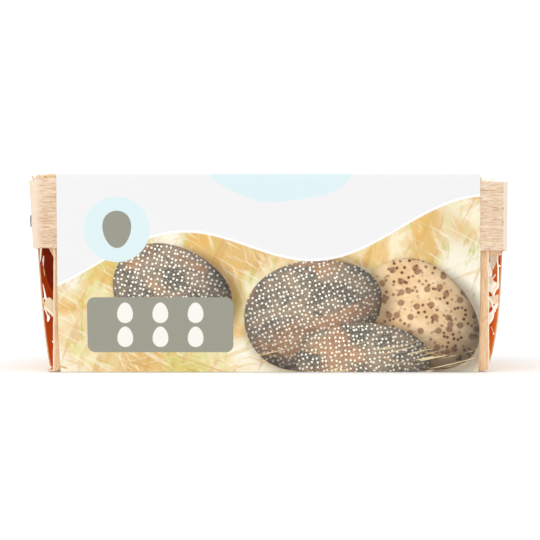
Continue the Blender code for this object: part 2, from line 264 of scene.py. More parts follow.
class Finish:
    """A material under construction."""

    def __init__(self, name, **constants):
        self.material = bpy.data.materials.new(name)
        self.material.use_nodes = True
        self.tree = self.material.node_tree
        self.shader = self.tree.nodes["Principled BSDF"]
        self.colour = None
        self.dress(**constants)

    def feed(self, socket, value):
        """Link a socket or give it a value."""
        if isinstance(value, Socket):
            self.tree.links.new(value.socket, socket)
        elif socket.type == "RGBA":
            socket.default_value = (*tuple(value)[:3], 1.0)
        else:
            socket.default_value = value

    def dress(self, **values):
        """Give the shader's sockets their values or links."""
        for socket, value in values.items():
            self.feed(self.shader.inputs[socket.replace("_", " ")], value)

    def paint(self, colour):
        """Give the surface its colour, and keep it for a finish that builds on this one."""
        self.colour = colour
        self.dress(Base_Color=colour)

    def node(self, kind, settings=None, inputs=None, output=0):
        """Add a node: its settings first, then the values or links of its sockets."""
        node = self.tree.nodes.new(kind)
        for name, value in (settings or {}).items():
            setattr(node, name, value)
        for name, value in (inputs or {}).items():
            self.feed(node.inputs[name], value)
        return Socket(self, node.outputs[output])

    def maths(self, operation, first, second=0.0):
        """Maths on values."""
        return self.node("ShaderNodeMath", {"operation": operation}, {0: first, 1: second})

    def larger(self, first, second):
        """The larger of two values."""
        return self.maths("MAXIMUM", first, second)

    def size_of(self, value):
        """Value without its sign."""
        return self.maths("ABSOLUTE", value)

    def combine(self, x, y, z=0.0):
        """Vector from three values."""
        return self.node("ShaderNodeCombineXYZ", None, {"X": x, "Y": y, "Z": z})

    def split(self, vector):
        """The three values of a vector."""
        parts = self.tree.nodes.new("ShaderNodeSeparateXYZ")
        self.feed(parts.inputs[0], vector)
        return [Socket(self, output) for output in parts.outputs]

    def between(self, value, low, high):
        """Smooth step: 0 up to low, 1 from high."""
        return self.node(
            "ShaderNodeMapRange",
            {"interpolation_type": "SMOOTHSTEP"},
            {"Value": value, "From Min": low, "From Max": high},
        )

    def blend(self, share, first, second, way="MIX"):
        """Colour that lies a share of the way from first to second."""
        settings = {"data_type": "RGBA", "blend_type": way, "clamp_factor": True}
        return self.node("ShaderNodeMix", settings, {0: share, 6: first, 7: second}, 2)

    def noise(self, place, stretch, detail=2.0, roughness=0.5, distortion=0.0, start=(0, 0, 0)):
        """Noise with so many lumps a metre along each axis."""
        spread = self.node(
            "ShaderNodeMapping", None, {"Vector": place, "Location": start, "Scale": stretch}
        )
        inputs = {
            "Vector": spread,
            "Scale": 1.0,
            "Detail": detail,
            "Roughness": roughness,
            "Distortion": distortion,
        }
        return self.node("ShaderNodeTexNoise", None, inputs, "Fac")

    def bump(self, height, distance, strength=1.0):
        """Light the surface as if it had this relief."""
        inputs = {"Height": height, "Distance": distance, "Strength": strength}
        self.dress(Normal=self.node("ShaderNodeBump", None, inputs))

    def place(self):
        """Place on the piece in metres."""
        return self.node("ShaderNodeTexCoord", None, None, "Object")

    def grain_map(self):
        """Place on a strip: metres along its grain and across it."""
        return self.node("ShaderNodeUVMap", {"uv_map": "grain"})


# Where the strips are painted pale, each from where it starts to where it is full: the bands' faces beside
# their corners, the painted highlight at the right and left corners, the rim, and the painted edge
# highlight
BESIDE_CORNERS = (0.0495, 0.0530)
CORNER_HIGHLIGHT_RIGHT = (0.0928, 0.0938)
CORNER_HIGHLIGHT_LEFT = (-0.0890, -0.0930)
PALE_RIM = (0.0728, 0.0762)
EDGE_HIGHLIGHT = (0.0006, 0.0004)
CORNER_HIGHLIGHT_TINT = (255, 240, 222)

# Small cracks beside the right corner's bend
CRACK_LINE = 0.0931
CRACK_REACH = (0.0005, 0.0002)


def veneer_finish(name, pale, dark, start, pore_share=0.6, pore_from=0.58, highlit_edges=None):
    """Raw sliced veneer: fine wavy streaks, broad bands and short dark pores, all along the grain.

    highlit_edges holds the places across the grain of edges that get a painted highlight.
    """
    wood = Finish(name, Specular_IOR_Level=0.25)
    place = wood.grain_map()
    fine = wood.noise(place, (180, 2900, 1), 3.0, 0.55, 0.9, (start, 0, 0))
    broad = wood.noise(place, (14, 260, 1), 2.0, 0.5, 0.5, (0, start, 0))
    pores = wood.noise(place, (240, 2700, 1), 1.5, 0.55, 0.6, (start, start, 0))
    pores = wood.between(pores, pore_from, pore_from + 0.08)
    patches = wood.noise(place, (25, 60, 1), 2.0, 0.5, 0.4, (start, 3, 0))

    # Painted highlight where the strip bends round a corner, with fewer pores there, and small cracks
    # beside the bend
    x, y, z = wood.split(wood.place())
    at_front_or_back = wood.between(wood.size_of(y), *BESIDE_CORNERS)
    corner = wood.larger(wood.between(x, *CORNER_HIGHLIGHT_RIGHT), wood.between(x, *CORNER_HIGHLIGHT_LEFT))
    corner = corner * at_front_or_back
    pores = pores * (1 - 0.85 * corner)
    streak = wood.between(fine * 0.75 + broad * 0.25, 0.41, 0.57)
    streak = wood.larger(streak, corner * 0.85)
    # Paler towards the rim
    streak = wood.larger(streak, wood.between(z, *PALE_RIM) * 0.6)
    colour = wood.blend(streak, dark, pale)
    colour = wood.blend(wood.between(patches, 0.45, 0.75) * 0.35, colour, pale)
    colour = wood.blend(pores * pore_share, colour, tint(180, 128, 88))
    colour = wood.blend(corner * (0.56 + 0.14 * wood.maths("SIGN", x)), colour, tint(*CORNER_HIGHLIGHT_TINT))
    beside = wood.between(wood.size_of(x - CRACK_LINE), *CRACK_REACH) * at_front_or_back
    cracks = wood.noise(wood.combine(y, z), (1, 620, 1), 2.0, 0.6, 0.8, (start, 2, 0))
    colour = wood.blend(beside * wood.between(cracks, 0.57, 0.64) * 0.8, colour, tint(196, 140, 78))
    # Painted highlight along the strip's edges
    if highlit_edges:
        _, across, _ = wood.split(place)
        outer, inner = EDGE_HIGHLIGHT
        low = wood.between(across, highlit_edges[0] + outer, highlit_edges[0] + inner)
        high = wood.between(across, highlit_edges[1] - outer, highlit_edges[1] - inner)
        colour = wood.blend(wood.larger(low, high) * 0.85, colour, tint(255, 240, 214))
    wood.paint(colour)
    wood.dress(Roughness=0.78 - streak * 0.16)
    wood.bump(fine * 0.7 + broad * 0.2 - pores * 0.4, 0.00016, 0.8)
    return wood


# Light and shade on the end walls' inner faces: the height of the bands' shadow, the arch-shaped
# shade at the left with its half width, springing height and rise, and where the upper part of the
# right wall begins
BAND_SHADOW = (0.054, 0.046)
ARCH_HALF_WIDTH = 0.0380
ARCH_SPRING = 0.0470
ARCH_RISE = 0.0160
UPPER_RIGHT = (0.0360, 0.0420)


def light_through_finish(name, colours):
    """Inner face of the end walls, which the studio light shines through from outside."""
    # Painted light: the deep orange base colour stands for the light through the wall, as the glow below
    # does
    wood = veneer_finish(name, colours.inside_backlit, tint(150, 70, 30), 5.0, 0.3)
    x, y, z = wood.split(wood.place())
    reach = wood.size_of(y)
    near = wood.between(reach, 0.030, 0.047)
    mottle = wood.noise(wood.grain_map(), (40, 380, 1), 3.0, 0.6, 0.3, (2, 7, 0))
    tone = wood.between(mottle, 0.35, 0.65)

    arch_y = reach / ARCH_HALF_WIDTH
    arch_z = wood.larger(ARCH_SPRING - z, 0.0) / ARCH_RISE
    arch = arch_y * arch_y + arch_z * arch_z
    rim_of_shade = wood.between(arch, 0.94, 1.02) * wood.between(arch, 1.12, 1.04)
    left_glow = wood.blend(wood.between(z, 0.036, 0.004), tint(146, 48, 13), colours.glow_left)
    left_glow = wood.blend(wood.between(arch, 1.03, 0.97), left_glow, tint(106, 26, 6))
    left_glow = wood.blend(rim_of_shade * 0.5, left_glow, tint(178, 82, 36))

    right_glow = wood.blend(near * 0.7 + tone * 0.3, tint(184, 58, 8), colours.glow_right)
    upper_glow = wood.blend(near, tint(200, 112, 52), tint(172, 62, 20))
    right_glow = wood.blend(wood.between(z, *UPPER_RIGHT), right_glow, upper_glow)

    glow = wood.blend(wood.between(x, -0.02, 0.02), left_glow, right_glow)
    glow = wood.blend(0.8 + 0.2 * tone, wood.blend(0.3, glow, (0, 0, 0)), glow)
    glow = wood.blend(wood.between(z, *BAND_SHADOW), (0, 0, 0), glow)
    wood.dress(Emission_Color=glow, Emission_Strength=0.9)
    return wood


def base_flap_finish(name, colours):
    """Inner face of the side strip, whose corners under the end walls catch the light through them."""
    wood = veneer_finish(name, colours.wall_pale, colours.wall_dark, 7.0)
    _, y, z = wood.split(wood.place())
    corner = wood.between(wood.size_of(y), 0.0480, 0.0490) * wood.between(z, 0.0040, 0.0025)
    wood.paint(wood.blend(corner, wood.colour, tint(190, 88, 30)))
    return wood


def cut_edge_finish(name, pale, deep):
    """Cut edge of the veneer, paler and dusty with torn fibres."""
    edge = Finish(name, Specular_IOR_Level=0.2, Roughness=0.85)
    fibres = edge.noise(edge.place(), (1900, 1900, 1900), 2.0, 0.6)
    edge.paint(edge.blend(edge.between(fibres, 0.35, 0.65), deep, pale))
    edge.bump(fibres, 0.00012, 0.7)
    return edge


def wood_wool_finish(name, pale, warm, glow):
    """Fine shavings: each has a tone of its own, streaks along its length and light coming through."""
    wool = Finish(name, Specular_IOR_Level=0.3, Roughness=0.62, Emission_Strength=glow)
    tone = wool.node("ShaderNodeAttribute", {"attribute_name": "tone"}, None, "Fac")
    streaks = wool.noise(wool.grain_map(), (45, 3200, 1), 2.0, 0.6)
    colour = wool.blend(tone, warm, pale)
    colour = wool.blend(wool.between(streaks, 0.5, 0.72) * 0.4, colour, tint(206, 158, 98))
    wool.paint(colour)
    wool.dress(Emission_Color=colour)
    wool.bump(streaks, 0.00006, 0.8)
    return wool


def packed_wool_finish(name):
    """Depth of the wood wool, where many ribbons lie over each other, with painted shade low down and
    between its strands.
    """
    wool = Finish(name, Specular_IOR_Level=0.15, Roughness=0.85)
    place = wool.place()
    one = wool.noise(place, (420, 60, 420), 3.0, 0.6, 1.5)
    other = wool.noise(place, (60, 420, 300), 3.0, 0.6, 1.5, (4, 1, 2))
    strands = wool.larger(one, other)
    lit = wool.between(strands, 0.45, 0.72)
    _, _, z = wool.split(place)
    # Painted shade: darker low down and in the gaps between strands, paler on top
    shaded_low_down = wool.blend(lit, tint(120, 62, 28), tint(222, 180, 126))
    lit_on_top = wool.blend(lit, tint(186, 140, 92), tint(244, 220, 178))
    wool.paint(wool.blend(wool.between(z, 0.044, 0.054), shaded_low_down, lit_on_top))
    wool.bump(strands, 0.0012, 1.0)
    return wool


def wire_finish(name):
    """Dull staple wire."""
    wire = Finish(name, Metallic=1.0)
    wear = wire.noise(wire.place(), (900, 900, 240), 3.0, 0.6)
    wire.paint(wire.blend(wear, tint(120, 120, 122), tint(196, 196, 198)))
    wire.dress(Roughness=0.3 + wear * 0.3)
    wire.bump(wear, 0.00003, 0.5)
    return wire


class Print:
    """The sleeve's print, drawn in millimetres: u along the sleeve, h up from the lower fold."""

    def __init__(self, finish, panel_height, top_depth):
        self.finish = finish
        self.panel = panel_height * 1000
        span = 2 * self.panel + top_depth * 1000
        along, girth, _ = finish.split(finish.node("ShaderNodeUVMap", {"uv_map": "print"}))
        along, girth = along * 1000, girth * 1000
        behind = girth > span / 2
        self.along = along
        self.u = along * (1 - 2 * behind)
        self.h = finish.maths("MINIMUM", girth, span - girth)
        self.place = finish.combine(self.u, self.h)

    def turned(self, centre, degrees):
        """Coordinates about a point of the print, turned by an angle."""
        turn = math.radians(degrees)
        du, dh = self.u - centre[0], self.h - centre[1]
        p = du * math.cos(turn) + dh * math.sin(turn)
        q = dh * math.cos(turn) - du * math.sin(turn)
        return p, q

    def egg(self, centre, radii, degrees):
        """Egg-shaped field: its mask, the light on it from the upper left, and the place on it."""
        f = self.finish
        p, q = self.turned(centre, degrees)
        p, q = p / radii[0], q / radii[1]
        reach = p * p + q * q * f.larger(1 + 0.30 * p, 0.5)
        mask = f.between(reach, 1.02, 0.98)
        height = f.maths("SQRT", f.larger(1 - reach, 0.0))
        du, dh = (self.u - centre[0]) / radii[0], (self.h - centre[1]) / radii[1]
        light = height * 0.72 + dh * 0.34 - du * 0.26 + 0.06
        return mask, light, f.combine(p * radii[0], q * radii[1])

    def shadow(self, centre, radii, degrees):
        """Soft shadow of an egg-shaped field: strongest inside it and fading out round it."""
        p, q = self.turned(centre, degrees)
        p, q = p / radii[0], q / radii[1]
        return self.finish.between(p * p + q * q, 1.45, 0.85)

    def dots(self, place, spacing, radius, jitter=0.8):
        """Small round dots on a loose grid, in millimetres."""
        f = self.finish
        settings = {"voronoi_dimensions": "2D", "feature": "F1"}
        inputs = {"Vector": place, "Scale": 1 / spacing, "Randomness": jitter}
        distance = f.node("ShaderNodeTexVoronoi", settings, inputs, "Distance")
        return f.between(distance, radius / spacing * 1.25, radius / spacing * 0.75)

    def patches(self, size, detail, distortion, start, low, high):
        """Soft patches of a size along and up."""
        f = self.finish
        stretched = f.combine(self.u / size[0], self.h / size[1])
        return f.between(f.noise(stretched, (1, 1, 1), detail, 0.5, distortion, start), low, high)

    def blades(self, degrees, length, width, low, high, start):
        """Stalks of straw that all lean one way."""
        f = self.finish
        p, q = self.turned((0, 0), degrees)
        stretched = f.combine(p / length, q / width)
        grown = f.noise(stretched, (1, 1, 1), 2.5, 0.6, 0.7, (start, start * 2, 0))
        return f.between(grown, low, high)


# Broad patches of the straw ground: their share, colour, size, detail, distortion, seed and range
GROUND_PATCHES = (
    (0.55, (214, 214, 112), (21, 26), 1.5, 0.8, (2, 8, 0), 0.50, 0.64),
    (0.70, (236, 184, 92), (15, 22), 1.5, 0.8, (9, 4, 0), 0.52, 0.66),
    (0.80, (253, 249, 234), (34, 30), 1.0, 0.3, (6, 2, 0), 0.48, 0.66),
)

# Stalks of straw over the ground: their share, colour, lean, length, width, range and seed
STALKS = (
    (0.5, (212, 160, 84), 68, 18, 3.4, 0.52, 0.68, 1.0),
    (0.6, (252, 242, 208), 112, 15, 3.0, 0.54, 0.70, 3.0),
    (0.5, (232, 190, 112), 24, 22, 2.6, 0.56, 0.70, 5.0),
    (0.6, (190, 204, 84), 85, 16, 3.2, 0.58, 0.72, 8.0),
    (0.5, (255, 251, 232), 150, 18, 1.8, 0.57, 0.68, 9.0),
)

# Stalks over the eggs' feet: the heights where they end and are full, colour, and stalks as above
FOOT_STALKS = (
    ((17.0, 5.0), (240, 220, 172), 14, 26, 1.4, 0.60, 0.66, 12.0),
    ((14.0, 4.0), (212, 170, 104), -18, 24, 1.2, 0.61, 0.67, 15.0),
)

# Eggs lying in the straw, the lowest in front: centre, half length and half width, turn, and
# whether the shell is tan with brown marks rather than dark with pale dots
PRINTED_EGGS = (
    ((-38.0, 33.0), (24.0, 17.0), -15, False),
    ((60.0, 22.0), (26.0, 20.0), -35, True),
    ((18.0, 24.0), (28.0, 21.0), 20, False),
    ((38.0, 3.0), (27.0, 17.0), 5, False),
)

# Round badge: its centre, radius and the half sizes of its egg
BADGE_CENTRE = (-60.0, 57.0)
BADGE_RADIUS = 13.0
BADGE_EGG = (7.4, 5.6)

# Label: its centre, half sizes between the corners' centres, corner radius and its rows of eggs
LABEL_CENTRE = (-43.0, 19.0)
LABEL_HALF = (26.0, 8.0)
LABEL_CORNER = 3.0
LABEL_EGG = (4.1, 3.1)
LABEL_PITCH = (14.0, 9.6)


def printed_shell(board, art, colours, number, place, warm):
    """Speckled shell of one printed egg."""
    cloud = board.noise(place, (0.09, 0.13, 1), 3.0, 0.6, 0.4, (number * 3, 5, 0))
    if warm:
        shell = board.blend(board.between(cloud, 0.35, 0.68), colours.shell_tan, tint(226, 200, 162))
        marks = art.dots(place, 2.5, 0.62, 1.0) * board.between(cloud, 0.62, 0.42)
        shell = board.blend(marks, shell, tint(96, 62, 38))
        return board.blend(art.dots(place, 5.8, 1.3, 1.0) * 0.8, shell, tint(128, 84, 52))
    shell = board.blend(board.between(cloud, 0.35, 0.62), colours.shell_dark, tint(140, 122, 104))
    warmth = board.noise(place, (0.05, 0.07, 1), 2.0, 0.5, 0.4, (number * 5, 2, 0))
    shell = board.blend(board.between(warmth, 0.50, 0.66) * 0.5, shell, tint(190, 132, 84))
    shell = board.blend(art.dots(place, 1.9, 0.43, 0.6), shell, tint(240, 238, 228))
    return board.blend(art.dots(place, 0.95, 0.19, 0.9) * 0.55, shell, tint(200, 194, 182))


def printed_ground(board, art, colours):
    """Bank of straw out of focus with speckled eggs lying in it."""
    shade = art.patches((26, 19), 2.0, 0.6, (3, 1, 0), 0.36, 0.62)
    ground = board.blend(shade, colours.straw_sand, colours.straw_pale)
    for share, colour, *patch in GROUND_PATCHES:
        ground = board.blend(art.patches(*patch) * share, ground, tint(*colour))
    for share, colour, *stalks in STALKS:
        ground = board.blend(art.blades(*stalks) * share, ground, tint(*colour))
    for number, (centre, radii, degrees, warm) in enumerate(PRINTED_EGGS):
        mask, light, place = art.egg(centre, radii, degrees)
        shadow = art.shadow((centre[0] + 2.4, centre[1] - 1.6), radii, degrees)
        ground = board.blend(shadow * 0.65, ground, tint(92, 66, 38))
        shell = printed_shell(board, art, colours, number, place, warm)
        lit = board.blend(board.between(light, -0.10, 0.95), (0.20, 0.18, 0.16), (1.36, 1.34, 1.28))
        ground = board.blend(mask, ground, board.blend(1.0, shell, lit, "MULTIPLY"))
    for ends, colour, *stalks in FOOT_STALKS:
        over = art.blades(*stalks) * board.between(art.h, *ends)
        ground = board.blend(over * 0.9, ground, tint(*colour))
    return ground


def printed_badge_and_label(board, art, colours, colour):
    """Round badge with an egg, and a grey label with two rows of pale eggs, over the print."""
    p, q = art.turned(BADGE_CENTRE, 0)
    disc = board.between(p * p + q * q, (BADGE_RADIUS + 0.15) ** 2, (BADGE_RADIUS - 0.15) ** 2)
    colour = board.blend(disc, colour, colours.sky_blue)
    mark, _, _ = art.egg(BADGE_CENTRE, BADGE_EGG, -90)
    colour = board.blend(mark, colour, colours.label_grey)

    p, q = art.turned(LABEL_CENTRE, 0)
    across = board.larger(board.size_of(p) - LABEL_HALF[0], 0.0)
    up = board.larger(board.size_of(q) - LABEL_HALF[1], 0.0)
    corner = across * across + up * up
    label = board.between(corner, (LABEL_CORNER + 0.1) ** 2, (LABEL_CORNER - 0.1) ** 2)
    paper = board.noise(board.combine(art.u / 1.3, art.h / 1.3), (1, 1, 1), 2.0, 0.6)
    grey = board.blend(paper * 0.25, colours.label_grey, tint(168, 168, 154))
    colour = board.blend(label, colour, grey)
    for column in (-1, 0, 1):
        for row in (-0.5, 0.5):
            centre = (LABEL_CENTRE[0] + column * LABEL_PITCH[0], LABEL_CENTRE[1] + row * LABEL_PITCH[1])
            mark, _, _ = art.egg(centre, LABEL_EGG, 90)
            colour = board.blend(mark, colour, tint(246, 246, 240))
    return colour


def print_finish(name, colours, panel_height, top_depth):
    """Printed board: a bank of straw with speckled eggs under a white field with a wavy edge."""
    board = Finish(name, Specular_IOR_Level=0.38)
    art = Print(board, panel_height, top_depth)
    ground = printed_ground(board, art, colours)

    # White field above the wave, with a soft blue shape that folds over on to the top
    wave = 51.0 + 0.12 * art.u + 9.0 * board.maths("COSINE", (art.u + 38.0) * (math.pi / 60))
    above = art.h - wave
    colour = board.blend(board.between(above, -0.10, 0.10), ground, tint(255, 255, 255))
    p, q = art.turned((5.0, 84.0), 0)
    ripple = 1 + 0.06 * board.maths("SINE", p * 0.22)
    blue = board.between(p * p / 900 + q * q / 256 * ripple, 1.01, 0.99)
    field = board.blend(blue, colours.board_white, colours.sky_blue)
    colour = board.blend(board.between(above, 0.9, 1.1), colour, field)
    colour = printed_badge_and_label(board, art, colours, colour)

    # Bare board below the lower folds and along both cut ends, and ink worn off the folds
    bare = board.between(board.size_of(art.along), 83.85, 83.90)
    bare = board.larger(bare, board.between(art.h, -0.35, -0.45))
    wear = board.noise(art.place, (0.9, 2.6, 1), 3.0, 0.7)
    fold = board.between(board.size_of(art.h - art.panel), 0.5, 0.05)
    bare = board.larger(bare, fold * board.between(wear, 0.56, 0.66) * 0.6)
    colour = board.blend(bare, colour, colours.board_white)
    fibres = board.noise(art.place, (3.4, 3.4, 1), 3.0, 0.65)
    board.paint(board.blend(fibres * 0.05, colour, tint(214, 212, 206)))
    board.dress(Roughness=0.40 + bare * 0.25 + fibres * 0.08)
    board.bump(fibres, 0.00004, 0.6)
    return board


def raw_board_finish(name, colour):
    """Unprinted side and cut edges of the board."""
    board = Finish(name, Specular_IOR_Level=0.2, Roughness=0.85)
    fibres = board.noise(board.place(), (1500, 1500, 1500), 3.0, 0.65)
    board.paint(board.blend(fibres * 0.4, colour, tint(216, 212, 202)))
    board.bump(fibres, 0.00006, 0.6)
    return board


def grain_coordinates(mesh, name, along, across):
    """Write a map from each vertex's two coordinates in metres."""
    layer = mesh.uv_layers[0] if mesh.uv_layers else mesh.uv_layers.new(name=name)
    layer.name = name
    corners = np.empty(len(mesh.loops), dtype=np.int32)
    mesh.loops.foreach_get("vertex_index", corners)
    places = np.column_stack((along[corners], across[corners]))
    layer.data.foreach_set("uv", places.astype(np.float32).ravel())


def ridges(along, across, start):
    """Relief of veneer, from -1 to 1: ridges and fibres along the grain over a slow swell."""
    ridge = noise.noise(Vector((along * 32, across * 950, start)))
    fibre = noise.noise(Vector((along * 110, across * 2100, start + 5)))
    swell = noise.noise(Vector((along * 15, across * 30, start + 9)))
    return 0.5 * ridge + 0.25 * fibre + 0.9 * swell


def thicken(piece, thickness, side_slot, rim_slot, smooth_degrees):
    """Give a sheet its thickness on its inner side, the slots of its new faces and its smoothing."""
    solidify = piece.modifiers.new("thickness", "SOLIDIFY")
    solidify.thickness = thickness
    solidify.offset = -1.0
    solidify.use_even_offset = True
    solidify.material_offset = side_slot
    solidify.material_offset_rim = rim_slot
    bpy.ops.object.modifier_apply(modifier=solidify.name)
    bpy.ops.object.shade_smooth_by_angle(angle=math.radians(smooth_degrees))


def bend_strip(name, columns, along, across, finishes, start, sizes, veneer=VENEER):
    """Bend a grid into a strip of veneer, with its relief, thickness and grain map.

    columns holds, for each length along the grain, the points of the outer face across it.
    """
    deselect()
    cells = len(along) - 1, len(across) - 1
    bpy.ops.mesh.primitive_grid_add(x_subdivisions=cells[0], y_subdivisions=cells[1], size=1.0)
    strip = bpy.context.object
    strip.name = strip.data.name = name
    mesh = strip.data
    lengths = np.empty(len(mesh.vertices))
    widths = np.empty(len(mesh.vertices))
    for vert in mesh.vertices:
        column = round((vert.co.x + 0.5) * cells[0])
        row = round((vert.co.y + 0.5) * cells[1])
        vert.co = columns[column][row]
        lengths[vert.index] = along[column]
        widths[vert.index] = across[row]
    grain_coordinates(mesh, "grain", lengths, widths)
    middle = Vector((0.0, 0.0, RIM_HEIGHT / 2))
    if sum(face.normal.dot(face.center - middle) * face.area for face in mesh.polygons) < 0:
        mesh.flip_normals()
    normals = [vert.normal.copy() for vert in mesh.vertices]
    for vert, normal in zip(mesh.vertices, normals):
        height = sizes.relief * ridges(lengths[vert.index], widths[vert.index], start)
        vert.co += normal * height + Vector((CENTRE_SHIFT, 0.0, 0.0))
    for finish in finishes:
        mesh.materials.append(finish.material)
    thicken(strip, veneer, 1, 2, 35)
    return strip


def steps_between(length, fine, coarse, margin):
    """Shares of a length, close together near both ends and wide apart in its middle."""
    if length <= 2 * margin:
        count = max(2, round(length / fine))
        return [step / count for step in range(count + 1)]
    near = max(2, round(margin / fine))
    far = max(2, round((length - 2 * margin) / coarse))
    lengths = [margin * step / near for step in range(near)]
    lengths += [mix(margin, length - margin, step / far) for step in range(far)]
    lengths += [length - margin + margin * step / near for step in range(near + 1)]
    return [place / length for place in lengths]


def places_along(points, rounded, radius, spacing, turn_steps):
    """Places along a path whose rounded points are cut short: lines with shares, and turns."""
    places = []
    for number in range(len(points) - 1):
        cut = radius * ((number in rounded) + (number + 1 in rounded))
        length = (points[number + 1] - points[number]).length - cut
        places += [("line", number, share) for share in spacing(number, length)]
        if number + 1 in rounded:
            places += [("turn", number + 1, step / turn_steps) for step in range(1, turn_steps)]
        elif number + 2 < len(points):
            places.pop()
    return places


def point_at(points, rounded, radius, place):
    """Point of a path at one of its places, with true arcs at its rounded points."""
    kind, number, share = place
    if kind == "line":
        start, end = points[number], points[number + 1]
        way = (end - start).normalized()
        start = start + way * radius if number in rounded else start
        end = end - way * radius if number + 1 in rounded else end
        return start.lerp(end, share)
    corner = points[number]
    back = (points[number - 1] - corner).normalized()
    ahead = (points[number + 1] - corner).normalized()
    pull = math.cos((-back).angle(ahead) / 2)
    weights = ((1 - share) ** 2, 2 * share * (1 - share) * pull, share**2)
    knots = (corner + back * radius, corner, corner + ahead * radius)
    return sum((knot * weight for knot, weight in zip(knots, weights)), Vector()) / sum(weights)


def running_lengths(points):
    """Distance along a list of points, from its first."""
    lengths = [0.0]
    for before, after in zip(points, points[1:]):
        lengths.append(lengths[-1] + (after - before).length)
    return lengths


def band_heights(low, x):
    """Heights of a band's lower and upper edges at a place along the punnet."""
    lower = mix(low[-1], low[1], (x + RIM_LENGTH / 2) / RIM_LENGTH)
    return lower, lower + BAND_HEIGHT


def band_path(band, level):
    """Lower or upper edge of a band, from under its lap round to over its own start."""
    half = RIM_DEPTH / 2
    seam, lift = band["seam"], band["proud"]
    turns = (
        (seam, LAP_START, 0.0),
        (seam, half, 0.0),
        (-seam, half, 0.0),
        (-seam, -half, 0.0),
        (seam, -half, 0.0),
        (seam, LAP_START - LAP_RISE - GAP, 0.0),
        (seam, LAP_START - GAP, lift),
        (seam, LAP_END, lift),
    )
    points = []
    for side, y, raised in turns:
        height = band_heights(band["low"], side * RIM_LENGTH / 2)[level]
        reach = end_wall(side, height) + band["proud"]
        x = side * (reach + raised + (0.0 if level else band["flare"]))
        z = band_heights(band["low"], x)[level]
        if abs(y) == half:
            y = math.copysign(side_wall(z) + band["proud"], y)
        points.append(Vector((x, y, z)))
    return points


# Edges of the bands at the front left corner: humps along the punnet, each with its height and
# the distances from the middle at which it starts, is full, is full until and ends
NEAR_FRONT = -0.03
NEAR_LEFT = -0.080
OUTER_RAISED = (0.0005, 0.0800, 0.0815, 0.099, 0.1)
OUTER_WORN = (0.0013, 0.0912, 0.0952, 0.099, 0.1)
LINER_TORN_UP = (0.0012, 0.0800, 0.0815, 0.0876, 0.0886)
LINER_TIP = (0.0003, 0.0845, 0.0862, 0.0864, 0.0874)
LINER_TONGUE = (0.0046, 0.0820, 0.0850, 0.0852, 0.0876)


def hump_at(point, height, low, peak_low, peak_high, high):
    """Height of a hump with straight flanks at a point of a band's edge."""
    value = -point.x
    if value <= low or value >= high:
        return 0.0
    if value < peak_low:
        return height * ((value - low) / (peak_low - low))
    if value > peak_high:
        return height * ((high - value) / (high - peak_high))
    return height


def outer_band_trim(point, share):
    """How much an edge of the outer band stands off its straight line at the front left corner."""
    if point.y > NEAR_FRONT or point.x > NEAR_LEFT:
        return 0.0
    return (hump_at(point, *OUTER_RAISED) - hump_at(point, *OUTER_WORN)) * share**6


def liner_band_trim(point, share):
    """How much an edge of the liner stands off its line: torn up and down at the front left."""
    if point.y > NEAR_FRONT:
        return 0.0
    torn_up = hump_at(point, *LINER_TORN_UP) + hump_at(point, *LINER_TIP)
    tongue = hump_at(point, *LINER_TONGUE) * (1 - share) ** 3
    return torn_up * share**4 - tongue


# Both bands: heights of the lower edge at the left and right, how far the band stands outside the
# walls, how far its lower edge flares, the end its seam is at, its corners' radius and its trim
BANDS = {
    "rim_band": {
        "low": OUTER_BAND_LOW,
        "proud": LAYER,
        "flare": BAND_FLARE,
        "seam": -1,
        "radius": BAND_CORNER_RADIUS,
        "trim": outer_band_trim,
    },
    "rim_liner": {
        "low": LINER_BAND_LOW,
        "proud": -LAYER,
        "flare": 0.0,
        "seam": 1,
        "radius": BAND_CORNER_RADIUS - 2 * LAYER,
        "trim": liner_band_trim,
    },
}
BAND_CORNERS = (1, 2, 3, 4)
BAND_ROWS = 54
BAND_TURN_STEPS = 7

# Steps along a band, fine near its corners: fine step, coarse step and length of the fine part,
# on the stretches along the ends and on those along the sides
BAND_END_STEPS = (0.0007, 0.0013, 0.004)
BAND_SIDE_STEPS = (0.0007, 0.004, 0.010)


def bend_band(name, finishes, start, sizes):
    """Band of veneer round the rim with lapped ends."""
    band = BANDS[name]
    paths = [band_path(band, level) for level in (0, 1)]

    def spacing(number, length):
        return steps_between(length, *(BAND_SIDE_STEPS if number in (1, 3) else BAND_END_STEPS))

    corners, radius = BAND_CORNERS, band["radius"]
    places = places_along(paths[0], corners, radius, spacing, BAND_TURN_STEPS)
    edges = [[point_at(path, corners, radius, place) for place in places] for path in paths]
    along = running_lengths([(a + b) / 2 for a, b in zip(*edges)])
    across = [BAND_HEIGHT * row / BAND_ROWS for row in range(BAND_ROWS + 1)]
    columns = []
    for length, bottom, top in zip(along, *edges):
        column = []
        for row in range(BAND_ROWS + 1):
            share = row / BAND_ROWS
            point = bottom.lerp(top, share)
            wander = sizes.ragged * noise.noise(Vector((length * 420, start, share * 3)))
            wander *= share**12 + (1 - share) ** 12
            point.z += band["trim"](point, share) + wander
            column.append(point)
        columns.append(column)
    return bend_strip(name, columns, along, across, finishes, start, sizes)


def settle_side_strip(point, width, share):
    """Spread the side strip towards the base, and let it sag where the sleeve no longer carries it."""
    height = point.z
    point.x += max(0.0, 1 - height / SPREAD_HEIGHT) * mix(*CROSS_STRIP_SPREAD, share)
    past = min(max((-point.x - SAG_START) / SAG_EASE, 0.0), 1.0)
    point.z -= CROSS_STRIP_SAG * past * max(0.0, 1 - height / SAG_HEIGHT)
    if height < CROSS_STRIP_LOW:
        point.x -= CROSS_STRIP_FOOT * max(0.0, 1 - (width - CROSS_STRIP[0]) / FOOT_WIDTH)


